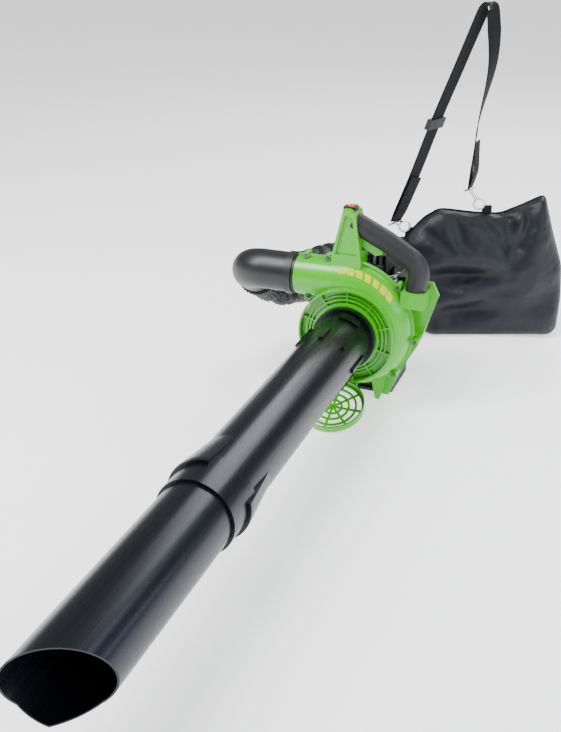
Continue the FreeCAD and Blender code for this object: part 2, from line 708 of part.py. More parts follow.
def choke_lever():
    z = port_z - 4
    hub = rod(5.0, (carb_x0 + 18, choke_y + clear, z), (carb_x0 + 18, choke_y + 5, z))
    arm = block(carb_x0 + 15.5, carb_x0 + 20.5, choke_y + 1.5, choke_y + 4.5, z - 24, z)
    body = union([hub, arm])
    return body.cut(rod(2.0 + fit_gap, (carb_x0 + 18, choke_y - 1, z), (carb_x0 + 18, choke_y + 9, z)))


def choke_spindle():
    z = port_z - 4
    head = rod(3.6, (carb_x0 + 18, choke_y + 5 + clear, z), (carb_x0 + 18, choke_y + 7, z))
    return union([rod(2.0, (carb_x0 + 18, choke_y, z), (carb_x0 + 18, choke_y + 6, z)), head])


tank_x = 66.0
tank_y0 = 8.0
tank_y1 = 112.0
base_t = 6.0
tank_z0 = base_t + seat
tank_z1 = 84.0
neck_x = -48.0
neck_y = 92.0


def fuel_tank():
    outer = block(-tank_x, tank_x, tank_y0, tank_y1, tank_z0, tank_z1)
    outer = outer.makeFillet(9.0, outer.Edges)
    neck = Part.makeCylinder(14.0, 14.0, V(neck_x, neck_y, tank_z1 - 6))
    inner = block(-tank_x + 2.5, tank_x - 2.5, tank_y0 + 2.5, tank_y1 - 2.5, tank_z0 + 2.5, tank_z1 - 2.5)
    inner = inner.makeFillet(6.5, inner.Edges)
    body = union([outer, neck])
    body = body.cut(inner)
    return body.cut(Part.makeCylinder(11.0, 30.0, V(neck_x, neck_y, tank_z1 - 12)))


def fuel_cap():
    z = tank_z1 + 8
    skirt = Part.makeCylinder(18.0, 15.0, V(neck_x, neck_y, z - 8.0))
    skirt = skirt.cut(Part.makeCylinder(14.0 + fit_gap, 8.0 + clear, V(neck_x, neck_y, z - 8.1)))
    for k in range(12):
        a = k * math.pi / 6
        skirt = skirt.cut(Part.makeCylinder(1.6, 16, V(neck_x + 18.8 * math.cos(a), neck_y + 18.8 * math.sin(a), z - 8.5)))
    return skirt


def fuel_line(y, z_end, x_end):
    pts = [(50, y, tank_z1 + seat), (50, y, tank_z1 + 34), (x_end, y, z_end - 20), (x_end, y, z_end)]
    return pipe(pts, [7.0, 7.0], 2.5)


def fuel_lines():
    z = port_z - 15 - seat
    return Part.Compound([fuel_line(cyl_y - 8, z, carb_x0 + 8), fuel_line(cyl_y + 8, z, carb_x0 + 8)])


# ---- covers and starter ----
def engine_cover():
    y0 = casing_back_y + seat
    outer = block(-48, 48, y0, 72, axis_z + 42, cyl_top + 34)
    top_edges = [e for e in outer.Edges if e.BoundBox.ZMin > axis_z + 60]
    outer = outer.makeFillet(8.0, top_edges)
    inner = block(-45.5, 45.5, y0 - 1, 69.5, axis_z + 41, cyl_top + 31.5)
    body = outer.cut(inner)
    body = body.cut(block(-50, -44, 2, 58, axis_z + 41, port_z + 28))
    body = body.cut(block(44, 50, 2, 60, axis_z + 41, port_z + 31))
    for k in range(6):
        x = -30 + 12 * k
        body = body.cut(block(x - 3, x + 3, 12, 62, cyl_top + 30, cyl_top + 36))
        body = body.cut(block(x - 3, x + 3, 68, 80, port_z + 4, cyl_top + 22))
    return body.cut(rod_y(starter_r + clear, fly_y0 - 4, 120))


cover_y0 = fly_y0 - 2.0
cover_y1 = 104.0
starter_r = 50.0
pulley_r = 28.0
pulley_y0 = 78.0
pulley_y1 = 88.0


def starter_cover():
    cup = rod_y(starter_r, cover_y0, cover_y1)
    cup = cup.cut(rod_y(starter_r - 2.5, cover_y0 - 1, cover_y1 - 2.5))
    boss = rod_y(5.0, 76.0, cover_y1 - 1)
    tower = block(pulley_r - 8, pulley_r + 8, pulley_y0 - 1, pulley_y1 + 1, axis_z + starter_r - 14, axis_z + starter_r + 6)
    body = union([cup, boss, tower])
    body = body.cut(Part.makeCylinder(3.0, 60, V(pulley_r, (pulley_y0 + pulley_y1) / 2, axis_z + 20)))
    body = body.cut(rod_y(starter_r - 2.5, cover_y0 - 1, cover_y0 + 18.5).cut(rod_y(20.0, 0, 200)))
    for k in range(12):
        slot = block(22, 42, cover_y1 - 5, cover_y1 + 1, axis_z - 2.2, axis_z + 2.2)
        body = body.cut(turned_y(slot, 30 * k + 15))
    body = body.cut(block(-26, 26, cover_y0 - 1, fly_y0 + 10, axis_z + 40, axis_z + 60))
    return body


def starter_pulley():
    body = rod_y(pulley_r + 3, pulley_y0, pulley_y1)
    body = body.cut(tube_y(pulley_r + 5, pulley_r - 3, pulley_y0 + 2, pulley_y1 - 2))
    return body.cut(rod_y(5.0 + fit_gap, pulley_y0 - 1, pulley_y1 + 1))


def starter_spring():
    return tube_y(24.0, 6.0, pulley_y1 + clear, cover_y1 - 2.5 - clear)


handle_z = axis_z + starter_r + 6.0 + clear


def starter_rope():
    y = (pulley_y0 + pulley_y1) / 2
    return Part.makeCylinder(1.8, 58.0, V(pulley_r, y, handle_z - 50.0))


def starter_handle():
    y = (pulley_y0 + pulley_y1) / 2
    stem = Part.makeCylinder(6.0, 12.0, V(pulley_r, y, handle_z))
    bar = rod(7.0, (pulley_r - 20, y, handle_z + 16), (pulley_r + 20, y, handle_z + 16))
    bar = bar.makeFillet(4.0, bar.Edges[0:1] + bar.Edges[2:3])
    body = union([stem, bar])
    return body.cut(Part.makeCylinder(1.8, 58.0, V(pulley_r, y, handle_z - 50.0)))


def engine_screws():
    spots = [(-22.0, cyl_y - 22), (22.0, cyl_y - 22), (-22.0, cyl_y + 22), (22.0, cyl_y + 22)]
    screws = []
    for x, y in spots:
        head = Part.makeCylinder(4.0, 5.0, V(x, y, deck_z + 5))
        screws.append(head)
    return Part.Compound(screws)


# ---- base ----
base_x = 72.0
base_y0 = -8.0
base_y1 = 118.0


def base_frame():
    plate = block(-base_x, base_x, base_y0, base_y1, 0, base_t)
    plate = plate.makeFillet(14.0, [e for e in plate.Edges if e.BoundBox.ZLength > 5 and e.BoundBox.XLength < 1])
    front = block(-46, 30, casing_back_y, casing_back_y + 6, 5, axis_z - case_r - 1)
    rails = [block(-tank_x - 5, -tank_x - 1, 10, 110, 5, 26), block(tank_x + 1, tank_x + 5, 10, 110, 5, 26)]
    plate = plate.cut(block(40, base_x + 20, base_y0 - 1, casing_back_y + seat, -1, 30))
    body = union([plate, front] + rails)
    slots = [block(-50, -14, 30, 96, -1, 7), block(14, 50, 30, 96, -1, 7)]
    for slot in slots:
        body = body.cut(slot)
    return body


# ---- handle ----
grip_points = [(-6.0, handle_y, axis_z + 201.0), (58.0, handle_y, axis_z + 170.0),
               (119.0, handle_y, axis_z + 133.0), (112.5, handle_y, axis_z + 82.0)]
grip_radii = [150.0, 34.0]
grip_dir = (V(*grip_points[1]) - V(*grip_points[0])).normalize()
grip_down = V(grip_dir.z, 0, -grip_dir.x)


def at_grip(along, down, y=handle_y):
    """A point along the front of the grip and below its middle line."""
    p = V(*grip_points[0]) + grip_dir * along + grip_down * down
    return V(p.x, y, p.z)


def grip_slab(outline, y0, y1):
    corners = [at_grip(s, n, y0) for s, n in outline]
    return Part.Face(Part.makePolygon(corners + [corners[0]])).extrude(V(0, y1 - y0, 0))


def grip_line_end_cut():
    return pipe(grip_points, grip_radii, grip_r + seat)


def handle_bracket(front, rear):
    outline = [(-40.0, axis_z + 112.0), (15.0, axis_z + 112.0), (15.0, axis_z + 138.0), (3.0, axis_z + 218.0),
               (-8.0, axis_z + 226.0), (-20.0, axis_z + 226.0), (-40.0, axis_z + 138.0)]
    body = prism_y(outline, handle_y - 22, handle_y + 22)
    face = [(-33.0, axis_z + 144.0), (7.0, axis_z + 144.0), (-3.0, axis_z + 212.0), (-16.0, axis_z + 216.0)]
    body = body.cut(prism_y(face, handle_y - 23, handle_y - 18))
    body = body.cut(prism_y(face, handle_y + 4, handle_y + 23))
    rib = prism_y([(-30.0, axis_z + 142.0), (-26.0, axis_z + 142.0), (0.0, axis_z + 214.0), (-4.0, axis_z + 214.0)],
                  handle_y - 18, handle_y + 18)
    body = union([body, rib])
    body = body.cut(front).cut(rear)
    body = body.cut(pipe(grip_points, grip_radii, grip_r + seat))
    body = body.cut(grip_slab([(4, 0), (40, 0), (40, 42), (4, 42)], handle_y - 6.5, handle_y + 6.5))
    pocket = block(-24, -1, handle_y - 9, handle_y + 9, axis_z + 214, axis_z + 240)
    body = body.cut(pocket)
    return max(body.Solids, key=lambda s: s.Volume)


def grip_shells():
    outer = pipe(grip_points, grip_radii, grip_r)
    inner = pipe(grip_points, grip_radii, grip_r - grip_wall)
    caps = union([grip_slab([(-5, -30), (3, -30), (3, 30), (-5, 30)], handle_y - 30, handle_y + 30)])
    body = outer.cut(inner.cut(caps))
    slot = grip_slab([(14, 2), (80, 2), (80, 24), (14, 24)], handle_y - trigger_w / 2 - 0.6,
                     handle_y + trigger_w / 2 + 0.6)
    body = body.cut(slot)
    body = body.cut(rod_y(2.02, handle_y - 30, handle_y + 30, at_grip(20, 9).x, at_grip(20, 9).z))
    ears = []
    for side in (-1, 1):
        y0 = handle_y + side * (trigger_w / 2 + 0.4)
        y1 = handle_y + side * pin_half
        p = at_grip(20, 9)
        ears.append(tube_y(4.5, 2.02, min(y0, y1), max(y0, y1), p.x, p.z))
    left = union([body.common(block(-100, 300, -200, handle_y, 0, 600)), ears[0]])
    right = union([body.common(block(-100, 300, handle_y, 200, 0, 600)), ears[1]])
    return left, right


def throttle_trigger():
    outline = [(16.0, 5.0), (24.0, 5.0), (30.0, 13.0), (70.0, 15.0), (74.0, 24.0), (64.0, 33.0), (34.0, 31.0), (17.0, 18.0)]
    body = grip_slab(outline, handle_y - trigger_w / 2, handle_y + trigger_w / 2)
    p = at_grip(20, 9)
    return body.cut(rod_y(2.0 + fit_gap, handle_y - 30, handle_y + 30, p.x, p.z))


def trigger_pin():
    p = at_grip(20, 9)
    return rod_y(2.0, handle_y - pin_half, handle_y + pin_half, p.x, p.z)


def switch_body():
    body = block(-24 + seat, -1 - seat, handle_y - 9 + seat, handle_y + 9 - seat, axis_z + 214 + seat, axis_z + 228)
    return body.cut(block(-19, -4, handle_y - 6.5, handle_y + 6.5, axis_z + 217, axis_z + 240)).cut(
        rod_y(1.52, handle_y - 8, handle_y + 8, -11.5, axis_z + 224))


def switch_rocker():
    disc = rod_y(7.2, handle_y - 6.1, handle_y + 6.1, -11.5, axis_z + 225)
    disc = disc.common(block(-30, 10, -100, 0, axis_z + 222, axis_z + 260))
    pin = rod_y(1.46, handle_y - 7.8, handle_y + 7.8, -11.5, axis_z + 224)
    dip = rod_y(9.0, handle_y - 7, handle_y + 7, -11.5, axis_z + 238.5)
    return union([disc.cut(dip), pin])


def throttle_cable():
    y = casing_back_y + 2.0 + seat
    pts = [(136.0, y, axis_z + 60.0), (134.0, y, axis_z + 36.0), (117.0, y, axis_z - 4.0), (113.0, y, axis_z - 14.0)]
    return pipe(pts, [20.0, 20.0], 2.0)


# ---- elbow ----
fall = math.radians(elbow_fall)
leg_dir = V(0, math.cos(fall), -math.sin(fall))
elbow_corner = V(elbow_x, part_y, outlet_z)
elbow_end = elbow_corner + leg_dir * elbow_leg
elbow_start_x = outlet_x - 1.0


def tuple_of(v):
    return (v.x, v.y, v.z)


def discharge_elbow():
    pts = [(elbow_start_x, part_y, outlet_z), tuple_of(elbow_corner), tuple_of(elbow_end)]
    outer = pipe(pts, [elbow_turn], elbow_r)
    far = elbow_end + leg_dir
    inner = pipe([(elbow_start_x + 1, part_y, outlet_z), tuple_of(elbow_corner), tuple_of(far)],
                 [elbow_turn], elbow_r - wall)
    return outer.cut(inner)


def clamp_ring():
    x0 = elbow_start_x - 17.0
    x1 = elbow_start_x - 4.0
    ring = rod(elbow_r + 2.6, (x0, part_y, outlet_z), (x1, part_y, outlet_z))
    lug = block(x0 + 2, x1 - 2, part_y + elbow_r, part_y + elbow_r + 12, outlet_z - 5, outlet_z + 5)
    ring = union([ring, lug]).cut(rod(elbow_r + seat, (x0 - 1, part_y, outlet_z), (x1 + 1, part_y, outlet_z)))
    return ring.cut(block(x0 - 1, x1 + 1, part_y + elbow_r + 1, part_y + elbow_r + 20, outlet_z - 1, outlet_z + 1))


# ---- bag and strap ----
bag_outline = [(-12.0, 90.0), (-10.0, 170.0), (-4.0, 212.0), (14.0, 236.0), (38.0, 262.0), (68.0, 279.0),
               (142.0, 270.0), (194.0, 268.0), (235.0, 285.0), (283.0, 308.0), (309.0, 227.0), (336.0, 153.0),
               (344.0, 75.0), (340.0, 12.0), (326.0, 0.0), (60.0, 0.0), (18.0, 24.0)]
bag_pinch = (165.0, 0.0)
neck_stations = [((-210.0, 84.0, 161.0), 44.0), ((-188.0, 108.0, 160.0), 52.0), ((-140.0, 150.0, 160.0), 57.0),
                 ((-70.0, 222.0, 162.0), 58.0), ((14.0, 298.0, 160.0), 56.0)]
cuff_t0 = 74.0
cuff_t1 = elbow_leg + 4.0


def turned_bag(shape):
    """A shape made in the bag's own frame, turned to where the bag lies."""
    shape = shape.copy()
    shape.rotate(V(bag_turn_x, bag_y, 0), V(0, 0, 1), bag_turn)
    return shape


def bag_slice(y, scale):
    pts = [V(bag_pinch[0] + (x - bag_pinch[0]) * scale, y, z * (1 - (1 - scale) * 0.6)) for x, z in bag_outline]
    return Part.makePolygon(pts + [pts[0]])


def bag_body():
    slices = [bag_slice(bag_y - bag_half, 0.80), bag_slice(bag_y - bag_half * 0.62, 0.95), bag_slice(bag_y, 1.0),
              bag_slice(bag_y + bag_half * 0.62, 0.95), bag_slice(bag_y + bag_half, 0.80)]
    return Part.makeLoft(slices, True, True)


def bag_neck():
    start = elbow_corner + leg_dir * (cuff_t1 + clear)
    spots = [(start, leg_dir, 40.0)]
    points = [V(*p) for p, r in neck_stations]
    for i, (p, r) in enumerate(neck_stations):
        ahead = points[i + 1] if i + 1 < len(points) else points[i] * 2 - points[i - 1]
        behind = points[i - 1] if i else start
        spots.append((points[i], (ahead - behind).normalize(), r))
    rings = [Part.Wire(Part.Circle(p, d, r).toShape()) for p, d, r in spots]
    return Part.makeLoft(rings, True, True)


def collection_bag():
    return union([turned_bag(bag_body()), bag_neck(), turned_bag(zip_chain())])


def bag_cuff():
    a = elbow_corner + leg_dir * cuff_t0
    b = elbow_corner + leg_dir * cuff_t1
    ring = Part.makeCylinder(elbow_r + 3.2, (b - a).Length, a, leg_dir)
    return ring.cut(Part.makeCylinder(elbow_r + seat, (b - a).Length + 2, a - leg_dir, leg_dir))


def bag_loop(mid, x0, x1, z0, z1, bag):
    """A folded webbing loop sewn to the bag, with room for the hook's ring to pass through it."""
    loop = block(x0, x1, mid[1] - 2, mid[1] + 2, z0, z1)
    ring = Part.makeTorus(hook_ring, hook_wire + clear, V(*mid), V(0, 1, 0))
    return max(turned_bag(loop.cut(ring)).cut(bag).Solids, key=lambda solid: solid.Volume)


def bag_loops(bag):
    return Part.Compound([bag_loop(right_mid, 156, 176, 250, 285, bag), bag_loop(left_mid, -2, 14, 200, 238, bag)])


strap_side = V(strap_w * 0.712, strap_w * 0.702, 0)
strap_line = [(-16.0, 275.0), (12.0, 352.0), (49.0, 464.0), (83.0, 557.0), (116.0, 648.0), (126.0, 671.0),
              (134.0, 674.0), (142.0, 660.0), (148.0, 571.0), (131.0, 460.0), (128.0, 380.0)]


def band(points, thick, side, y):
    """A flat band that follows x, z points, seen from its edge."""
    front = []
    back = []
    for i, (x, z) in enumerate(points):
        a = points[max(i - 1, 0)]
        b = points[min(i + 1, len(points) - 1)]
        length = math.hypot(b[0] - a[0], b[1] - a[1])
        nx = -(b[1] - a[1]) / length
        nz = (b[0] - a[0]) / length
        front.append((x + nx * thick / 2, z + nz * thick / 2))
        back.append((x - nx * thick / 2, z - nz * thick / 2))
    ring = front + back[::-1]
    corners = [V(x, y, z) - side * 0.5 for x, z in ring]
    return Part.Face(Part.makePolygon(corners + [corners[0]])).extrude(side)


def strap_path():
    """The strap's line, between the eyes of its two hooks."""
    reach = hook_wire + clear
    start = (left_eye[0] + reach * 0.3, left_eye[2] + reach)
    end = (right_eye[0], right_eye[2] + reach)
    return [start] + strap_line + [end]


def shoulder_strap():
    return turned_bag(band(strap_path(), strap_t, strap_side, bag_y))


def strap_slider():
    a = V(strap_line[1][0], 0, strap_line[1][1])
    b = V(strap_line[2][0], 0, strap_line[2][1])
    ends = [a + (b - a) * t for t in (0.82, 1.0)]
    outer = band([(p.x, p.z) for p in ends], strap_t + 7.0, strap_side * 1.25, bag_y)
    path = band(strap_path(), strap_t + 0.6, strap_side * 1.06, bag_y)
    return turned_bag(max(outer.cut(path).Solids, key=lambda s: s.Volume))


hook_ring = 11.0
hook_wire = 2.2
mouth_low = 50.0          # degrees from the shank to the hook's open mouth
mouth_high = 110.0
gate_eye_r = 1.7


def hook_at(eye, mid):
    """A snap hook: an eye bar that the webbing folds round, a shank, and an open ring of wire."""
    up = (V(*eye) - V(*mid)).normalize()
    side = strap_side * (1 / strap_side.Length)
    a = V(*eye) - side * (strap_w / 2 + 2)
    b = V(*eye) + side * (strap_w / 2 + 2)
    bar = Part.makeCylinder(hook_wire, (b - a).Length, a, b - a)
    shank = Part.makeCylinder(3.2, (V(*eye) - V(*mid)).Length - hook_ring, V(*mid) + up * hook_ring, up)
    ring = Part.makeTorus(hook_ring, hook_wire, V(*mid), V(0, 1, 0))
    angle = math.degrees(math.atan2(up.z, up.x))
    spots = [math.radians(angle - a) for a in (mouth_low, (mouth_low + mouth_high) / 2, mouth_high)]
    far = hook_ring * 1.6
    mouth = prism_y([(mid[0], mid[2])] + [(mid[0] + far * math.cos(a), mid[2] + far * math.sin(a)) for a in spots],
                    mid[1] - 10, mid[1] + 10)
    return union([bar, shank, ring.cut(mouth)])


def hook_gate(eye, mid):
    up = (V(*eye) - V(*mid)).normalize()
    angle = math.atan2(up.z, up.x)
    a0 = angle - math.radians(mouth_high - 12)
    a1 = angle - math.radians(mouth_low + 6)
    p = V(mid[0] + hook_ring * math.cos(a0), mid[1], mid[2] + hook_ring * math.sin(a0))
    q = V(mid[0] + hook_ring * math.cos(a1), mid[1], mid[2] + hook_ring * math.sin(a1))
    barrel = rod_y(gate_eye_r, mid[1] - hook_wire, mid[1] + hook_wire, p.x, p.z)
    return union([Part.makeCylinder(1.4, (q - p).Length, p, q - p), barrel])


right_eye = (127.0, bag_y, 319.0)
right_mid = (149.0, bag_y, 288.0)
left_eye = (-24.0, bag_y, 248.0)
left_mid = (-4.0, bag_y, 240.0)


def zip_chain():
    return block(80, 290, bag_y + bag_half - 0.5, bag_y + bag_half + 2.5, 92, 104)


def zip_slider():
    body = block(262, 274, bag_y + bag_half + 2.5 + clear, bag_y + bag_half + 6.5, 93, 103)
    pull = block(240, 263, bag_y + bag_half + 4.5, bag_y + bag_half + 6.0, 95.5, 100.5)
    return union([body, pull])


# ---- build everything ----
def sub_parts():
    """Every node's name and shape."""
    front, rear = casings()
    near, far = grip_shells()
    bag = collection_bag()
    pins = Part.Compound([guard_pin(), trigger_pin()])
    return {
        "fan_housing_front": front, "fan_housing_rear": rear,
        "screws": Part.Compound(casing_screws().Solids + engine_screws().Solids),
        "upper_suction_tube": upper_tube(), "lower_suction_tube": lower_tube(),
        "intake_guard": intake_guard(), "hinge_pins": pins,
        "impeller": impeller(), "shredder_blade": shredder_blade(), "impeller_nut": impeller_nut(),
        "crankshaft": crankshaft(), "flywheel": flywheel(),
        "crankcase": Part.Compound(list(crankcase())),
        "crank_bearings": Part.Compound(bearings().Solids + seals().Solids),
        "cylinder": cylinder(), "piston": piston(), "connecting_rod": connecting_rod(),
        "piston_rings_and_pins": Part.Compound(piston_rings().Solids + [wrist_pin(), crankpin()]),
        "ignition_coil": ignition_coil(), "spark_plug": spark_plug(),
        "plug_lead": Part.Compound([plug_cap(), plug_lead()]),
        "muffler": muffler(), "muffler_guard": muffler_guard(),
        "intake_manifold": intake_manifold(), "carburettor": carburettor(),
        "carb_throttle_lever": throttle_lever(), "choke_lever": choke_lever(), "primer_bulb": primer_bulb(),
        "air_filter_base": air_filter_base(), "air_filter_foam": filter_foam(),
        "air_filter_cover": air_filter_cover(), "air_filter_knob": filter_knob(),
        "fuel_tank": fuel_tank(), "fuel_cap": fuel_cap(), "fuel_lines": fuel_lines(),
        "engine_cover": engine_cover(), "starter_cover": starter_cover(),
        "starter_pulley": starter_pulley(), "starter_spring": starter_spring(),
        "starter_rope": starter_rope(), "starter_handle": starter_handle(),
        "base_frame": base_frame(), "handle_bracket": handle_bracket(front, rear),
        "grip_shell_near": near, "grip_shell_far": far, "throttle_trigger": throttle_trigger(),
        "stop_switch_body": switch_body(), "stop_switch_rocker": switch_rocker(),
        "throttle_cable": throttle_cable(),
        "discharge_elbow": discharge_elbow(), "outlet_clamp_ring": clamp_ring(),
        "collection_bag": bag, "bag_cuff": bag_cuff(), "bag_loops": bag_loops(bag), "zip_slider": turned_bag(zip_slider()),
        "shoulder_strap": shoulder_strap(), "strap_slider": strap_slider(),
        "strap_hooks": turned_bag(Part.Compound([hook_at(left_eye, left_mid), hook_at(right_eye, right_mid)])),
        "hook_gate_left": turned_bag(hook_gate(left_eye, left_mid)),
        "hook_gate_right": turned_bag(hook_gate(right_eye, right_mid)),
    }


os.makedirs("parts", exist_ok=True)
for name, shape in sub_parts().items():
    save(name, shape)
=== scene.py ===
import json
import math

import bmesh
import bpy
import numpy as np
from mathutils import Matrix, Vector


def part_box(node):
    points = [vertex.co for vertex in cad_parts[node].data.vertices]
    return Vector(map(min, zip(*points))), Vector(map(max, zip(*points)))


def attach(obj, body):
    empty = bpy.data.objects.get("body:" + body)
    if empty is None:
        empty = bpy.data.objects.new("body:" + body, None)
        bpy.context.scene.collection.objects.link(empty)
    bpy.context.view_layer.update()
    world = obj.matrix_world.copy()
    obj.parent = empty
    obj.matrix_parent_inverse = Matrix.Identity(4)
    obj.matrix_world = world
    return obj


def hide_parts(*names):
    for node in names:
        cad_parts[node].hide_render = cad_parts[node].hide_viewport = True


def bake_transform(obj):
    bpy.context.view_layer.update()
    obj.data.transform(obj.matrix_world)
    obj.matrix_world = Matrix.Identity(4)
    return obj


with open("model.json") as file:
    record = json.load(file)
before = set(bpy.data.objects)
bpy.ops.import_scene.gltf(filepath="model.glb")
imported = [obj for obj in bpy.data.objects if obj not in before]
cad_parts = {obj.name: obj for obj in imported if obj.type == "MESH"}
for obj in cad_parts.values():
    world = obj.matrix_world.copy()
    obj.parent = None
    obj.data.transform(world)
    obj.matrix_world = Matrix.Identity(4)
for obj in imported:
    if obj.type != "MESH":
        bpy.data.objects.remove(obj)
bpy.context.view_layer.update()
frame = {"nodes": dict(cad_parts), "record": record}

mm = 0.001
print("frame loaded")


# azimuth and elevation say where the camera stands, in degrees from straight in front and above level
cameraSettings = {"place": (0.46415, -1.57097, 0.82316), "azimuth": 21.64, "elevation": 25.54, "lens": 46.0}


def makeCamera(settings):
    a = math.radians(settings["azimuth"])
    e = math.radians(settings["elevation"])
    back = Vector((math.sin(a) * math.cos(e), -math.cos(a) * math.cos(e), math.sin(e)))
    data = bpy.data.cameras.new("camera")
    data.lens = settings["lens"]
    data.sensor_width = 36.0
    camera = bpy.data.objects.new("camera", data)
    camera.location = settings["place"]
    camera.rotation_mode = "QUATERNION"
    camera.rotation_quaternion = (-back).to_track_quat("-Z", "Y")
    bpy.context.scene.collection.objects.link(camera)
    bpy.context.scene.camera = camera


lights = {
    "key": {"place": (-1.1, -1.0, 2.3), "aim": (0.0, -0.3, 0.1), "wide": 0.9, "high": 2.2, "power": 125.0},
    "fill": {"place": (2.8, -1.6, 1.9), "aim": (0.1, 0.0, 0.2), "wide": 1.6, "high": 1.6, "power": 26.0},
    "rim": {"place": (0.6, 2.6, 2.6), "aim": (0.1, 0.2, 0.2), "wide": 2.4, "high": 1.2, "power": 80.0},
    "lowStrip": {"place": (1.5, -0.6, 0.52), "aim": (0.0, -0.6, 0.14), "wide": 2.3, "high": 0.14,
                 "power": 8.0, "tint": (0.62, 0.68, 1.0)},
    "highStrip": {"place": (1.15, -0.6, 1.30), "aim": (0.0, -0.6, 0.14), "wide": 2.3, "high": 0.30,
                  "power": 10.0, "tint": (0.80, 0.90, 1.0)},
}


def makeLights(settings):
    for name, one in settings.items():
        data = bpy.data.lights.new(name, "AREA")
        data.energy = one["power"]
        data.shape = "RECTANGLE"
        data.size = one["wide"]
        data.size_y = one["high"]
        data.color = one.get("tint", (1.0, 1.0, 1.0))
        lamp = bpy.data.objects.new(name, data)
        lamp.location = one["place"]
        lamp.rotation_mode = "QUATERNION"
        aim = Vector(one["aim"]) - Vector(one["place"])
        lamp.rotation_quaternion = aim.to_track_quat("-Z", "Y")
        bpy.context.scene.collection.objects.link(lamp)


worldPlan = {"colour": (1.0, 1.0, 1.0, 1.0), "strength": 0.34}
world = bpy.data.worlds.new("studio")
world.use_nodes = True
world.node_tree.nodes["Background"].inputs["Color"].default_value = worldPlan["colour"]
world.node_tree.nodes["Background"].inputs["Strength"].default_value = worldPlan["strength"]
bpy.context.scene.world = world
makeCamera(cameraSettings)
makeLights(lights)
print("camera and lights placed")


class Wire:
    # one socket of a finish; arithmetic on it adds Math nodes
    def __init__(self, finish, socket):
        self.finish = finish
        self.socket = socket

    def maths(self, operation, first, second=0.0):
        return self.finish.node("ShaderNodeMath", {"operation": operation}, {0: first, 1: second})

    def __add__(self, other):
        return self.maths("ADD", self, other)

    def __sub__(self, other):
        return self.maths("SUBTRACT", self, other)

    def __rsub__(self, other):
        return self.maths("SUBTRACT", other, self)

    def __mul__(self, other):
        return self.maths("MULTIPLY", self, other)

    def sine(self):
        return self.maths("SINE", self)

    def fraction(self):
        return self.maths("FRACT", self)

    def size(self):
        return self.maths("ABSOLUTE", self)


class Finish:
    # one material built around a Principled shader
    def __init__(self, name):
        self.material = bpy.data.materials.new(name)
        self.material.use_nodes = True
        self.tree = self.material.node_tree
        self.shader = self.tree.nodes["Principled BSDF"]

    def node(self, kind, settings=None, values=None, out=0):
        made = self.tree.nodes.new(kind)
        for key, value in (settings or {}).items():
            setattr(made, key, value)
        for key, value in (values or {}).items():
            if isinstance(value, Wire):
                self.tree.links.new(value.socket, made.inputs[key])
            else:
                made.inputs[key].default_value = value
        return Wire(self, made.outputs[out])

    def place(self, scale=(1.0, 1.0, 1.0), source="Object"):
        coords = self.node("ShaderNodeTexCoord", out=source)
        return self.node("ShaderNodeMapping", None, {"Vector": coords, "Scale": scale})

    def noise(self, scale, detail=3.0, stretch=(1.0, 1.0, 1.0), source="Object", rough=0.5):
        values = {"Vector": self.place(stretch, source), "Scale": scale, "Detail": detail, "Roughness": rough}
        return self.node("ShaderNodeTexNoise", None, values)

    def along(self, axis, source="UV"):
        coords = self.node("ShaderNodeTexCoord", out=source)
        return self.node("ShaderNodeSeparateXYZ", None, {0: coords}, out=axis)

    def blend(self, low, high, factor):
        values = {0: factor, 6: rgba(low), 7: rgba(high)}
        return self.node("ShaderNodeMix", {"data_type": "RGBA"}, values, out=2)

    def band(self, value, low, high):
        # 0 below low, 1 above high, straight between
        values = {0: value, 1: low, 2: high}
        return self.node("ShaderNodeMapRange", None, values)

    def bump(self, height, strength, depth):
        values = {"Height": height, "Strength": strength, "Distance": depth}
        self.link("Normal", self.node("ShaderNodeBump", None, values))

    def link(self, name, value):
        if isinstance(value, Wire):
            self.tree.links.new(value.socket, self.shader.inputs[name])
        else:
            self.shader.inputs[name].default_value = value


def rgba(colour):
    return colour if isinstance(colour, Wire) or len(colour) == 4 else (*colour, 1.0)


def shade(colour, amount):
    return tuple(min(1.0, c * amount) for c in colour)


def mouldedPlastic(name, colour, rough, grain=0.15, coat=0.0, spread=0.12, dust=0.0):
    # a cloudy colour, fine grain in the surface, faint handling scuffs and dust on top
    f = Finish(name)
    cloud = f.noise(9.0, 4.0)
    fine = f.noise(900.0, 2.0)
    scuff = f.band(f.noise(60.0, 6.0, (1.0, 6.0, 1.0), rough=0.7), 0.58, 0.75)
    base = f.blend(shade(colour, 1.0 - spread), shade(colour, 1.0 + spread), cloud)
    if dust:
        base = f.blend(base, (0.30, 0.29, 0.27), scuff * dust)
    f.link("Base Color", base)
    f.link("Roughness", cloud * 0.07 + fine * 0.04 + scuff * 0.10 + (rough - 0.06))
    f.link("Coat Weight", coat)
    f.link("Coat Roughness", 0.12)
    f.bump(fine + cloud * 0.6, grain, 0.0004)
    return f.material


def drawnTube(name, colour, rough):
    # satin tube with faint draw lines along its length and a few rubbed streaks
    f = Finish(name)
    lines = f.noise(26.0, 5.0, (9.0, 0.12, 9.0), rough=0.6)
    cloud = f.noise(5.0, 4.0)
    rub = f.band(f.noise(7.0, 6.0, (5.0, 0.5, 5.0), rough=0.7), 0.60, 0.80)
    f.link("Base Color", f.blend(shade(colour, 0.8), shade(colour, 1.5), cloud * 0.6 + rub * 0.5))
    f.link("Roughness", lines * 0.10 + rub * 0.08 + (rough - 0.05))
    f.link("Specular Tint", (0.80, 0.86, 1.0, 1.0))
    f.link("Specular IOR Level", 0.32)
    f.bump(lines * 0.7 + f.noise(700.0, 1.0) * 0.12, 0.09, 0.0006)
    return f.material


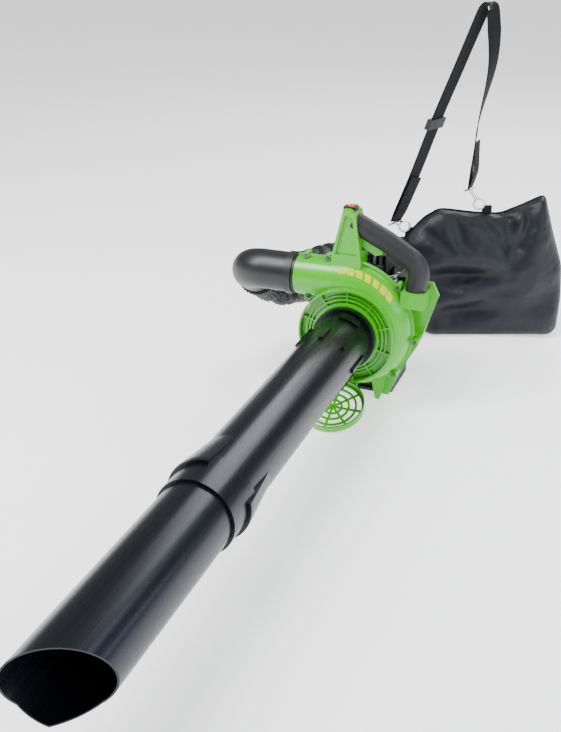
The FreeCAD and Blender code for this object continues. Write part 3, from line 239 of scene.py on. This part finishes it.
def softGrip(name, colour):
    # rubbery skin with a pebbled grain
    f = Finish(name)
    values = {"Vector": f.place(), "Scale": 620.0}
    pebble = f.node("ShaderNodeTexVoronoi", None, values)
    cloud = f.noise(16.0, 4.0)
    f.link("Base Color", f.blend(shade(colour, 0.8), shade(colour, 1.35), cloud))
    f.link("Roughness", cloud * 0.12 + 0.46)
    f.bump(pebble, 0.22, 0.0005)
    return f.material


def wovenNylon(name, colour, threads=(520.0, 900.0)):
    # plain weave on the piece's own map: over and under threads, a soft bluish sheen and rubbed folds
    f = Finish(name)
    u = f.along(0)
    v = f.along(1)
    warp = (u * (threads[0] * math.tau)).sine()
    weft = (v * (threads[1] * math.tau)).sine()
    weave = warp * weft * 0.5 + 0.5
    cloud = f.noise(7.0, 5.0)
    crush = f.noise(38.0, 7.0, rough=0.68)
    f.link("Base Color", f.blend(shade(colour, 0.72), shade(colour, 1.35), cloud * 0.5 + crush * 0.5))
    f.link("Roughness", cloud * 0.12 + weave * 0.08 + 0.36)
    f.link("Specular IOR Level", 0.34)
    f.link("Sheen Weight", 0.05)
    f.link("Sheen Roughness", 0.35)
    f.link("Sheen Tint", (0.62, 0.72, 0.95, 1.0))
    f.bump(crush * 0.8 + weave * 0.10, 0.30, 0.0018)
    return f.material


def wovenStrap(name, colour, ribs=9.0, rows=300.0):
    # herringbone webbing: ribs along the band crossed by slanting weft
    f = Finish(name)
    u = f.along(0)
    v = f.along(1)
    rib = (v * (ribs * math.tau)).sine()
    slant = ((u * rows + (v * ribs * 2.0).fraction().size() * 0.5) * math.tau).sine()
    wear = f.noise(30.0, 5.0)
    mixed = rib * 0.15 + slant * 0.2 + wear * 0.6
    f.link("Base Color", f.blend(shade(colour, 0.7), shade(colour, 1.7), mixed))
    f.link("Roughness", wear * 0.15 + 0.62)
    f.link("Specular IOR Level", 0.22)
    f.bump(rib * 0.6 + slant * 0.4, 0.55, 0.0006)
    return f.material


def cleanMetal(name, colour, rough, streak=(1.0, 1.0, 1.0), grime=0.25):
    # bare metal with tool streaks and grime in patches
    f = Finish(name)
    tool = f.noise(240.0, 3.0, streak)
    patch = f.noise(24.0, 6.0, rough=0.65)
    mask = f.band(patch, 0.48, 0.72)
    f.link("Base Color", f.blend(colour, (0.10, 0.085, 0.07), mask * grime))
    f.link("Metallic", 1.0 - mask * (grime * 0.6))
    f.link("Roughness", tool * 0.16 + mask * 0.2 + (rough - 0.08))
    f.bump(tool, 0.12, 0.0004)
    return f.material


def castMetal(name, colour, rough):
    # sand-cast skin: grainy, dull, darker in its hollows
    f = Finish(name)
    grain = f.noise(420.0, 5.0, rough=0.6)
    patch = f.noise(30.0, 5.0)
    f.link("Base Color", f.blend(shade(colour, 0.7), colour, patch * 0.6 + grain * 0.4))
    f.link("Metallic", 0.92)
    f.link("Roughness", grain * 0.18 + rough)
    f.bump(grain, 0.45, 0.0008)
    return f.material


def milkyTank(name, colour):
    # translucent blow-moulded plastic, tinted where fuel stands in it
    f = Finish(name)
    height = f.along(2, "Object")
    fuel = f.band(height, 0.052, 0.050)
    cloud = f.noise(12.0, 4.0)
    f.link("Base Color", f.blend(colour, (0.72, 0.62, 0.42), fuel * 0.55 + cloud * 0.10))
    f.link("Roughness", cloud * 0.12 + 0.34)
    f.link("Subsurface Weight", 0.35)
    f.link("Subsurface Radius", (0.02, 0.018, 0.012))
    f.link("Subsurface Scale", 0.6)
    f.bump(f.noise(300.0, 3.0), 0.10, 0.0006)
    return f.material


def printedInk(name, colour):
    # flat printed ink with a slightly uneven cover
    f = Finish(name)
    cover = f.noise(140.0, 3.0)
    f.link("Base Color", f.blend(shade(colour, 0.9), shade(colour, 1.1), cover))
    f.link("Roughness", cover * 0.1 + 0.75)
    f.link("Specular IOR Level", 0.12)
    return f.material


def foamFinish(name, colour):
    f = Finish(name)
    cells = f.node("ShaderNodeTexVoronoi", None, {"Vector": f.place(), "Scale": 520.0})
    f.link("Base Color", f.blend(shade(colour, 0.5), shade(colour, 1.6), cells))
    f.link("Roughness", 0.9)
    f.bump(cells, 0.9, 0.0015)
    return f.material


lime = (0.050, 0.43, 0.0)
black = (0.0065, 0.0067, 0.008)
finishes = {
    "green_shell": mouldedPlastic("limeShell", lime, 0.27, 0.05, coat=0.22, spread=0.07),
    "black_tube": drawnTube("satinTube", (0.0035, 0.0038, 0.0055), 0.27),
    "black_plastic": mouldedPlastic("blackMoulding", black, 0.46, 0.25, dust=0.10),
    "elbow_black": mouldedPlastic("elbowMoulding", (0.0065, 0.0066, 0.0075), 0.40, 0.12),
    "grip_rubber": softGrip("gripSkin", (0.0085, 0.0085, 0.0098)),
    "bag_cloth": wovenNylon("bagNylon", (0.0038, 0.0050, 0.0080)),
    "webbing": wovenStrap("strapWebbing", (0.0045, 0.0045, 0.0052)),
    "plated_steel": cleanMetal("nickelPlate", (0.78, 0.78, 0.79), 0.16, grime=0.08),
    "steel": cleanMetal("turnedSteel", (0.56, 0.56, 0.58), 0.34, (1.0, 5.0, 5.0)),
    "cast_alloy": castMetal("castAlloy", (0.62, 0.63, 0.64), 0.42),
    "muffler_steel": mouldedPlastic("heatPaint", (0.03, 0.029, 0.028), 0.62, 0.5, dust=0.35),
    "tank_plastic": milkyTank("milkyTank", (0.84, 0.85, 0.80)),
    "tube_rubber": softGrip("hoseRubber", (0.018, 0.018, 0.019)),
    "switch_red": mouldedPlastic("switchOrange", (0.72, 0.09, 0.02), 0.30, 0.05, coat=0.2),
}
finishes["foam"] = foamFinish("filterFoam", (0.05, 0.06, 0.09))
finishes["yellow"] = printedInk("yellowPrint", (0.62, 0.58, 0.0))
finishes["darkSteel"] = cleanMetal("blackenedSteel", (0.12, 0.12, 0.125), 0.38)
finishes["paintedCylinder"] = castMetal("paintedCylinder", (0.10, 0.10, 0.105), 0.5)
ownFinish = {"air_filter_foam": "foam", "screws": "darkSteel", "cylinder": "paintedCylinder"}
for part in frame["record"]["subparts"]:
    node = frame["nodes"][part["node"]]
    node.data.materials.clear()
    node.data.materials.append(finishes[ownFinish.get(part["node"], part["material_slot"])])
print("finishes given to", len(frame["nodes"]), "nodes")


def gridFaces(n, m, closed):
    # quads between the neighbours of an n by m grid whose last column meets its first; a closed grid also
    # joins its last row to its first. The map's corners run 0-1 along n and along m.
    spans = n if closed else n - 1
    i, j = np.meshgrid(np.arange(spans), np.arange(m), indexing="ij")
    i, j = i.ravel(), j.ravel()
    nextI, nextJ = (i + 1) % n, (j + 1) % m
    quads = np.stack([i * m + j, i * m + nextJ, nextI * m + nextJ, nextI * m + j], 1)
    u = np.stack([i, i, i + 1, i + 1], 1) / spans
    v = np.stack([j, j + 1, j + 1, j], 1) / m
    return quads.tolist(), np.stack([u, v], 2).reshape(-1, 2).tolist()


def meshWithMap(name, verts, faces, maps):
    mesh = bpy.data.meshes.new(name)
    mesh.from_pydata(verts, [], faces)
    layer = mesh.uv_layers.new(name="map")
    layer.data.foreach_set("uv", np.array(maps, np.float32).ravel())
    return mesh


def makePiece(name, rows, body="machine", slot=None, finish=None, replaces=()):
    # rows is an array (n, m, 3) in metres: a tube of n rings, each end closed by a fan to its middle
    n, m = rows.shape[:2]
    faces, maps = gridFaces(n, m, False)
    verts = rows.reshape(-1, 3).tolist()
    for row, end in ((0, 0.0), (n - 1, 1.0)):
        middle = len(verts)
        verts.append(rows[row].mean(0).tolist())
        for k in range(m):
            faces.append([middle, row * m + (k + 1) % m, row * m + k])
            maps += [[end, (k + 0.5) / m], [end, (k + 1) / m], [end, k / m]]
    return finishPiece(name, meshWithMap(name, verts, faces, maps), body, slot, finish, replaces)


def closedRing(name, rows, slot="webbing", replaces=()):
    # rows of a ring that meets itself
    faces, maps = gridFaces(*rows.shape[:2], True)
    mesh = meshWithMap(name, rows.reshape(-1, 3).tolist(), faces, maps)
    return finishPiece(name, mesh, "machine", slot, None, replaces)


def finishPiece(name, mesh, body, slot, finish, replaces):
    # turns every face outwards, shades it smooth, and gives it its finish and body
    work = bmesh.new()
    work.from_mesh(mesh)
    bmesh.ops.recalc_face_normals(work, faces=work.faces)
    work.to_mesh(mesh)
    work.free()
    mesh.polygons.foreach_set("use_smooth", np.ones(len(mesh.polygons), bool))
    mesh.materials.append(finishes[finish or slot])
    piece = bpy.data.objects.new(name, mesh)
    bpy.context.scene.collection.objects.link(piece)
    if replaces:
        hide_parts(*replaces)
    if body:
        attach(piece, body)
    return piece


def unit(vectors):
    return vectors / np.maximum(np.linalg.norm(vectors, axis=-1, keepdims=True), 1e-9)


def curveThrough(points, count):
    # Catmull-Rom through the points, then resampled at even steps
    p = np.array(points, float)
    p = np.vstack([2 * p[0] - p[1], p, 2 * p[-1] - p[-2]])
    t = np.linspace(0, 1, 24, endpoint=False)[:, None]
    spans = []
    for a, b, c, d in zip(p[:-3], p[1:-2], p[2:-1], p[3:]):
        bend = (2 * a - 5 * b + 4 * c - d) * t**2
        spans.append(0.5 * (2 * b + (c - a) * t + bend + (3 * b - a - 3 * c + d) * t**3))
    fine = np.vstack(spans + [p[-2:-1]])
    return evenly(fine, count)


def evenly(line, count):
    steps = np.concatenate([[0], np.cumsum(np.linalg.norm(np.diff(line, axis=0), axis=1))])
    want = np.linspace(0, steps[-1], count)
    return np.stack([np.interp(want, steps, line[:, k]) for k in range(line.shape[1])], 1)


def roundAlong(line, radii, around, up=(0.0, 0.0, 1.0)):
    # circles of the given radii standing square to the line; radii is (n, around) or (n, 1)
    tangent = unit(np.gradient(line, axis=0))
    side = unit(np.cross(tangent, np.array(up)))
    top = np.cross(side, tangent)
    turn = np.linspace(0, math.tau, around, endpoint=False)
    ring = side[:, None] * np.cos(turn)[None, :, None] + top[:, None] * np.sin(turn)[None, :, None]
    return line[:, None] + ring * radii[..., None]


def bandAlong(line, side, width, thick):
    # a flat band: a rounded rectangle, width along side, thick along the face's own normal
    tangent = unit(np.gradient(line, axis=0))
    side = unit(side - tangent * (side * tangent).sum(1, keepdims=True))
    face = np.cross(tangent, side)
    turn = np.linspace(0, math.tau, 24, endpoint=False)
    across = np.sign(np.cos(turn)) * np.abs(np.cos(turn)) ** 0.25 * width / 2
    through = np.sign(np.sin(turn)) * np.abs(np.sin(turn)) ** 0.6 * thick / 2
    return line[:, None] + side[:, None] * across[None, :, None] + face[:, None] * through[None, :, None]


def manyBoxes(centres, along, side, sizes):
    # one closed box at each centre: sizes are (length, width, height)
    corner = np.array([(a, b, c) for a in (-1, 1) for b in (-1, 1) for c in (-1, 1)]) / 2
    third = np.cross(along, side)
    axes = np.stack([along * sizes[0], side * sizes[1], third * sizes[2]], 1)
    verts = centres[:, None] + np.einsum("ck,nkx->ncx", corner, axes)
    quads = np.array([(0, 1, 3, 2), (4, 6, 7, 5), (0, 4, 5, 1), (2, 3, 7, 6), (0, 2, 6, 4), (1, 5, 7, 3)])
    faces = (quads[None] + 8 * np.arange(len(centres))[:, None, None]).reshape(-1, 4)
    return verts.reshape(-1, 3), faces


# the bag is drawn in its own plane (s across, z up) and turned about the vertical
bagPlan = {
    "turn": 22.0, "turnX": 120.0, "plane": 340.0, "half": 45.0, "middle": (168.0, 112.0),
    "outline": [(-12, 90), (-10, 170), (-4, 212), (14, 236), (38, 262), (68, 279), (142, 270), (194, 268),
                (235, 285), (283, 308), (309, 227), (336, 153), (344, 75), (340, 12), (326, 0), (60, 0),
                (18, 24)],
    "around": 420, "rings": 92,
}
# each fold: start, end, half width, depth (negative stands out); millimetres in the bag's plane
frontFolds = [
    ((203, 285), (222, 206), 12, 12), ((258, 300), (236, 204), 11, 11), ((233, 280), (230, 235), 11, -6),
    ((222, 215), (214, 150), 16, 6),
    ((150, 258), (196, 214), 9, 6), ((50, 138), (176, 144), 17, 21), ((70, 48), (190, 70), 18, 21),
    ((44, 172), (186, 170), 17, -8), ((66, 88), (186, 108), 17, -7),
    ((20, 214), (140, 184), 14, -6), ((94, 262), (118, 206), 10, 7), ((150, 100), (236, 116), 11, 7),
    ((40, 236), (92, 196), 8, 6), ((252, 74), (326, 104), 20, 8), ((286, 270), (262, 140), 18, -7),
    ((110, 20), (250, 30), 16, 5), ((190, 180), (300, 60), 30, -8), ((10, 110), (90, 100), 12, 6),
]
backFolds = [
    ((60, 240), (120, 150), 14, 9), ((210, 270), (200, 170), 12, 10), ((280, 250), (240, 130), 16, 8),
    ((40, 100), (150, 60), 22, 10), ((180, 60), (310, 90), 20, 9), ((120, 200), (250, 200), 24, -6),
    ((20, 180), (80, 190), 12, 6),
]


def intoWorld(points):
    # bag plane points (s, y, z) in millimetres to metres in the object's frame
    a = math.radians(bagPlan["turn"])
    s = points[..., 0] - bagPlan["turnX"]
    y = points[..., 1] - bagPlan["plane"]
    x = bagPlan["turnX"] + s * math.cos(a) - y * math.sin(a)
    return np.stack([x, bagPlan["plane"] + s * math.sin(a) + y * math.cos(a), points[..., 2]], -1) * mm


def foldDepth(s, z, folds):
    # each fold is a bell curve of the distance to its line, summed
    total = np.zeros_like(s)
    for (s0, z0), (s1, z1), width, depth in folds:
        length2 = (s1 - s0) ** 2 + (z1 - z0) ** 2
        t = np.clip(((s - s0) * (s1 - s0) + (z - z0) * (z1 - z0)) / length2, 0, 1)
        gap2 = (s - s0 - t * (s1 - s0)) ** 2 + (z - z0 - t * (z1 - z0)) ** 2
        total += depth * np.exp(-gap2 / (2 * width**2)) * (0.55 + 0.45 * np.sin(math.pi * t))
    return total


def ripple(a, b, seed, count=11, finest=18.0, coarsest=85.0):
    # a sum of bent waves in random directions: small creases that run together
    rng = np.random.default_rng(seed)
    total = np.zeros_like(a)
    for wave in np.geomspace(coarsest, finest, count):
        angle = rng.uniform(0, math.pi)
        p = a * math.cos(angle) + b * math.sin(angle)
        q = b * math.cos(angle) - a * math.sin(angle)
        bend = 0.45 * wave * np.sin(q * math.tau / (wave * rng.uniform(2.0, 3.6)) + rng.uniform(0, 6))
        phase = (p + bend) * math.tau / wave + rng.uniform(0, 6)
        slow = q * math.tau / (wave * 3.1) + p * math.tau / (wave * 4.3)
        patch = 0.5 + 0.5 * np.sin(slow + rng.uniform(0, 6))
        total += (1 - np.abs(np.sin(phase / 2)) * 2) * patch * wave * 0.016
    return total


def bagRim(count):
    # the outline walked at even steps with its corners eased by a running average
    line = np.array(bagPlan["outline"], float)
    line = evenly(np.vstack([line, line[:1]]), count + 1)[:-1]
    reach = np.arange(-9, 10)
    weight = np.exp(-(reach / 3.4) ** 2)
    return sum(np.roll(line, int(k), axis=0) * w for k, w in zip(reach, weight / weight.sum()))


def makeBag():
    # two panels sewn at the rim: at share r of the way from the middle to the rim the panel stands
    # half * (1 - r^p)^q away from the middle plane, boxier towards the floor, with folds pressed in
    rim = bagRim(bagPlan["around"])
    middle = np.array(bagPlan["middle"])
    r = np.sin(np.linspace(0.03, math.pi / 2, bagPlan["rings"]))
    flat = middle + (rim[None] - middle) * r[:, None, None]
    low = np.clip((70.0 - flat[..., 1]) / 70.0, 0, 1)
    power = 5.0 + 5.0 * low
    bulge = (1 - r[:, None] ** power) ** (0.5 - 0.16 * low)
    edge = np.clip((1 - r[:, None]) / 0.10, 0, 1) ** 0.7
    panels = []
    for way, folds, seed in ((-1, frontFolds, 5), (1, backFolds, 9)):
        s, z = flat[..., 0], flat[..., 1]
        press = (foldDepth(s, z, folds) * 1.25 + ripple(s, z, seed) * 0.42) * edge
        depth = np.maximum(bagPlan["half"] * bulge - press, 1.2 * edge)
        depth = np.minimum(depth, bagPlan["half"] + 8)
        panels.append(np.stack([s, bagPlan["plane"] + way * depth, np.maximum(z, 0.4)], -1))
    rows = np.vstack([panels[0], panels[1][::-1][1:]])
    wobble = ripple(rows[..., 0], rows[..., 1] * 2, 21) * 0.6
    rows[..., 2] = np.maximum(rows[..., 2] + wobble * np.clip(rows[..., 2] / 60, 0, 1), 0.4)
    return makePiece("bagShell", intoWorld(rows), slot="bag_cloth", replaces=["collection_bag"])


weltPlan = {"count": 360, "radius": 1.9, "around": 10, "lowest": 2.4}


def makeBagWelt(plan):
    # the bound seam round the rim, a cord of even radius laid along the outline
    rim = bagRim(plan["count"])
    middle = np.full(len(rim), bagPlan["plane"])
    line = np.stack([rim[:, 0], middle, np.maximum(rim[:, 1], plan["lowest"])], 1)
    world = intoWorld(np.vstack([line, line[:1]]))
    radii = np.full((len(world), 1), plan["radius"] * mm)
    rows = roundAlong(world, radii, plan["around"], (0.37, -0.93, 0.0))
    return closedRing("bagRimBinding", rows[:-1])


neckPlan = {
    "start": (-216.0, 56.0, 177.0), "radius": 40.6, "rings": 210, "around": 160,
    "stations": [((-210, 84, 161), 44), ((-188, 108, 160), 52), ((-140, 150, 160), 57),
                 ((-70, 222, 162), 58), ((14, 298, 160), 55)],
}


def makeNeck():
    # the sleeve from the elbow to the bag: radius follows the stations, with soft ring folds that
    # drift round the sleeve
    spots = [neckPlan["start"]] + [p for p, r in neckPlan["stations"]]
    radii = [neckPlan["radius"]] + [r for p, r in neckPlan["stations"]]
    line = curveThrough([(*p, r) for p, r in zip(spots, radii)], neckPlan["rings"])
    t = np.linspace(0, 1, len(line))[:, None]
    turn = np.linspace(0, math.tau, neckPlan["around"], endpoint=False)[None]
    away = np.clip(t / 0.12, 0, 1)
    rings = np.sin(math.tau * (7.0 * t + 0.22 * np.sin(turn * 2 + 1.0) + 0.10 * np.sin(turn * 5 + 9 * t)))
    swell = np.sin(math.tau * (2.4 * t + 0.15 * np.sin(turn + 0.6)))
    fold = (np.abs(rings) ** 0.7 * 5.0 - 2.5 + swell * 2.5) * away
    fold += ripple(turn * 50 + 0 * t, t * 340 + 0 * turn, 33) * 0.9 * away
    pleats = np.cos(turn * 34 + 2 * np.sin(turn * 3)) * 0.8 * np.clip(1 - t / 0.22, 0, 1)
    rows = roundAlong(line[:, :3], line[:, 3:] + fold + pleats - 1.5, neckPlan["around"])
    return makePiece("bagSleeve", rows * mm, slot="bag_cloth")


# the cuff lies along the elbow's far leg: start and end are distances from the elbow's corner
cuffPlan = {"corner": (-217.0, -37.0, 232.0), "fall": 30.5, "start": 72.5, "end": 116.0, "outer": 39.0,
            "inner": 37.3, "around": 300, "rings": 64, "pleats": 42}


def makeCuff(plan):
    # the elastic cuff: a turned hem gathered into pleats, gripping the elbow
    fall = math.radians(plan["fall"])
    leg = np.array([0.0, math.cos(fall), -math.sin(fall)])
    t = np.linspace(plan["start"], plan["end"], plan["rings"])
    turn = np.linspace(0, math.tau, plan["around"], endpoint=False)[None]
    pleat = np.cos(turn * plan["pleats"] + 1.6 * np.sin(turn * 5)) * 0.5 + 0.5
    hem = np.exp(-((t - 75) / 3.2) ** 2)[:, None] * 1.8 + np.exp(-((t - 113) / 3.5) ** 2)[:, None] * 0.8
    channel = np.sin((t[:, None] - 72) / 44 * math.pi * 4) * 0.5
    outer = plan["outer"] + pleat * 1.9 + hem + channel
    line = np.array(plan["corner"]) + leg * t[:, None]
    rows = roundAlong(line, outer + 0 * turn, plan["around"])
    inner = roundAlong(line[::-1], np.full((len(t), 1), plan["inner"]), plan["around"])
    return closedRing("bagCuffHem", np.vstack([rows, inner]) * mm, "bag_cloth", ["bag_cuff"])


# the zip lies on the bag's far side
zipPlan = {"pitch": 2.4, "teeth": (84.0, 286.0), "tape": (80.0, 290.0), "height": 98.0, "off": 46.0,
           "width": 26.0, "thick": 1.2, "gap": 1.3, "tooth": (1.3, 3.0, 1.5)}


def makeZip(plan):
    # teeth in two rows along the tape, one small box each
    count = 60
    s = np.arange(*plan["teeth"], plan["pitch"])
    y = bagPlan["plane"] + plan["off"]
    run = np.linspace(*plan["tape"], count)
    tape = np.stack([run, np.full(count, y + 0.4), np.full(count, plan["height"])], 1)
    side = np.tile(np.array([0.0, 0.0, 1.0]), (count, 1))
    band = bandAlong(intoWorld(tape), side, plan["width"] * mm, plan["thick"] * mm)
    makePiece("zipTape", band, slot="webbing")
    proud = np.full(len(s), y + 1.7)
    tops = np.stack([s, proud, np.full(len(s), plan["height"] + plan["gap"])], 1)
    lows = np.stack([s + plan["pitch"] / 2, proud, np.full(len(s), plan["height"] - plan["gap"])], 1)
    centres = intoWorld(np.vstack([tops, lows]))
    a = math.radians(bagPlan["turn"])
    along = np.tile(np.array([math.cos(a), math.sin(a), 0.0]), (len(centres), 1))
    up = np.tile(np.array([0.0, 0.0, 1.0]), (len(centres), 1))
    verts, faces = manyBoxes(centres, along, up, [size * mm for size in plan["tooth"]])
    mesh = bpy.data.meshes.new("zipTeeth")
    mesh.from_pydata(verts.tolist(), [], faces.tolist())
    piece = finishPiece("zipTeeth", mesh, "machine", "plated_steel", None, ())
    piece.data.polygons.foreach_set("use_smooth", np.zeros(len(mesh.polygons), bool))


print("bag")
makeBag()
makeBagWelt(weltPlan)
makeNeck()
makeCuff(cuffPlan)
makeZip(zipPlan)


# the strap runs in the bag's plane; its width is turned by turnBy degrees at each share turnAt of its length
strapPlan = {
    "width": 38.0, "thick": 2.2,
    "turnAt": [0, 0.45, 0.52, 0.62, 0.75, 0.86, 1.0],
    "turnBy": [45, 44, 42, 36, 62, 80, 64],
    "line": [(-23.2, 250.5), (-16, 275), (12, 352), (49, 464), (83, 557), (116, 648), (126, 671), (134, 674),
             (142, 660), (148, 571), (131, 460), (128, 380), (127, 321.5)],
    "tail": [(127.5, 322.5), (133.0, 340.0), (136.5, 360.0), (135.0, 392.0), (134.0, 418.0)],
    "leftTail": [(-23.5, 251.5), (-11.0, 276.0), (5.0, 318.0), (15.0, 344.0)],
}


def sideways(line, angles):
    # the band's width direction in the bag's plane, turned from s towards y by the given degrees
    a = np.radians(angles)
    local = np.stack([np.cos(a), np.sin(a), np.zeros(len(a))], 1)
    turn = math.radians(bagPlan["turn"])
    x = local[:, 0] * math.cos(turn) - local[:, 1] * math.sin(turn)
    y = local[:, 0] * math.sin(turn) + local[:, 1] * math.cos(turn)
    return np.stack([x, y, local[:, 2]], 1)


def makeStrap():
    points = [(s, bagPlan["plane"], z) for s, z in strapPlan["line"]]
    line = curveThrough(points, 420)
    t = np.linspace(0, 1, len(line))
    angles = np.interp(t, strapPlan["turnAt"], strapPlan["turnBy"])
    bow = np.sin(np.clip((t - 0.55) / 0.4, 0, 1) * math.pi) * 2.5
    line[:, 0] += bow
    world = intoWorld(line)
    side = sideways(line, angles)
    thick = strapPlan["thick"] * mm
    strap = makePiece("strapBand", bandAlong(world, side, strapPlan["width"] * mm, thick), slot="webbing",
                      replaces=["shoulder_strap"])
    for name, key, angle in (("strapTailRight", "tail", 64), ("strapTailLeft", "leftTail", 45)):
        path = curveThrough([(s, bagPlan["plane"], z) for s, z in strapPlan[key]], 60)
        sides = sideways(path, np.full(60, angle))
        band = bandAlong(intoWorld(path), sides, strapPlan["width"] * mm, thick)
        makePiece(name, band, slot="webbing")
    return strap


print("strap")
makeStrap()


# printed dashes on the scroll, angles in degrees
dashPlan = {"centre": (-12.0, 144.0), "bend": 88.0, "duct": 36.0, "plane": -37.0, "from": 97.0, "to": 37.0,
            "low": 34.0, "high": 56.0, "count": 7, "share": 0.74, "slant": 2.4, "proud": 0.25}


def makeDashes(plan):
    # patches of the scroll's own surface: an angle round the scroll, an angle round its duct, slightly proud
    step = (plan["to"] - plan["from"]) / plan["count"]
    for k in range(plan["count"]):
        start = plan["from"] + step * (k + (1 - plan["share"]) / 2)
        along = np.linspace(0, 1, 14)[:, None]
        across = np.linspace(0, 1, 10)[None]
        lean = plan["slant"] * (across - 0.5)
        theta = np.radians(start + step * plan["share"] * along - lean)
        phi = np.radians(plan["low"] + (plan["high"] - plan["low"]) * across + 0 * along)
        layers = []
        for proud in (plan["proud"], -0.4):
            reach = plan["bend"] + (plan["duct"] + proud) * np.cos(phi)
            x = plan["centre"][0] + reach * np.cos(theta)
            z = plan["centre"][1] + reach * np.sin(theta)
            y = plan["plane"] - (plan["duct"] + proud) * np.sin(phi) + 0 * theta
            layers.append(np.stack([x, y, z], -1))
        loop = np.concatenate([layers[0], layers[1][:, ::-1]], 1)
        makePiece("printDash%d" % (k + 1), loop * mm, finish="yellow")


print("printed dashes")
makeDashes(dashPlan)


ropePlan = {"rings": 120, "around": 24, "strands": 3, "twist": 900, "groove": 0.07}


def makeRope(plan):
    # strands twisted: the radius rises and falls once for each strand round the rope, turning along it
    lo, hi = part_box("starter_rope")
    x, y = (lo.x + hi.x) / 2, (lo.y + hi.y) / 2
    z = np.linspace(lo.z, hi.z, plan["rings"])
    line = np.stack([np.full(len(z), x), np.full(len(z), y), z], 1)
    turn = np.linspace(0, math.tau, plan["around"], endpoint=False)[None]
    base = (hi.x - lo.x) / 2
    wave = np.cos(plan["strands"] * turn + (z[:, None] - lo.z) * plan["twist"])
    radii = base * (1 - plan["groove"] + plan["groove"] * wave)
    rows = roundAlong(line, radii, plan["around"], (0.0, 1.0, 0.0))
    rope = makePiece("starterRopeRun", rows, slot="tube_rubber", body=None, replaces=["starter_rope"])
    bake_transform(rope)


print("starter rope")
makeRope(ropePlan)


floorPlan = {"reach": 40.0, "dark": 0.84, "light": 0.88, "rough": 0.6, "glow": 1.0}


def makeFloor(plan):
    mesh = bpy.data.meshes.new("floor")
    w = plan["reach"]
    mesh.from_pydata([(-w, -w, 0), (w, -w, 0), (w, w, 0), (-w, w, 0)], [], [(0, 1, 2, 3)])
    f = Finish("floorPaint")
    f.link("Base Color", f.blend((plan["dark"],) * 3, (plan["light"],) * 3, f.noise(3.0, 2.0)))
    f.link("Roughness", plan["rough"])
    f.link("Emission Color", (1.0, 1.0, 1.0, 1.0))
    f.link("Emission Strength", plan["glow"])
    mesh.materials.append(f.material)
    floor = bpy.data.objects.new("floor", mesh)
    bpy.context.scene.collection.objects.link(floor)


makeFloor(floorPlan)
print("pieces made")
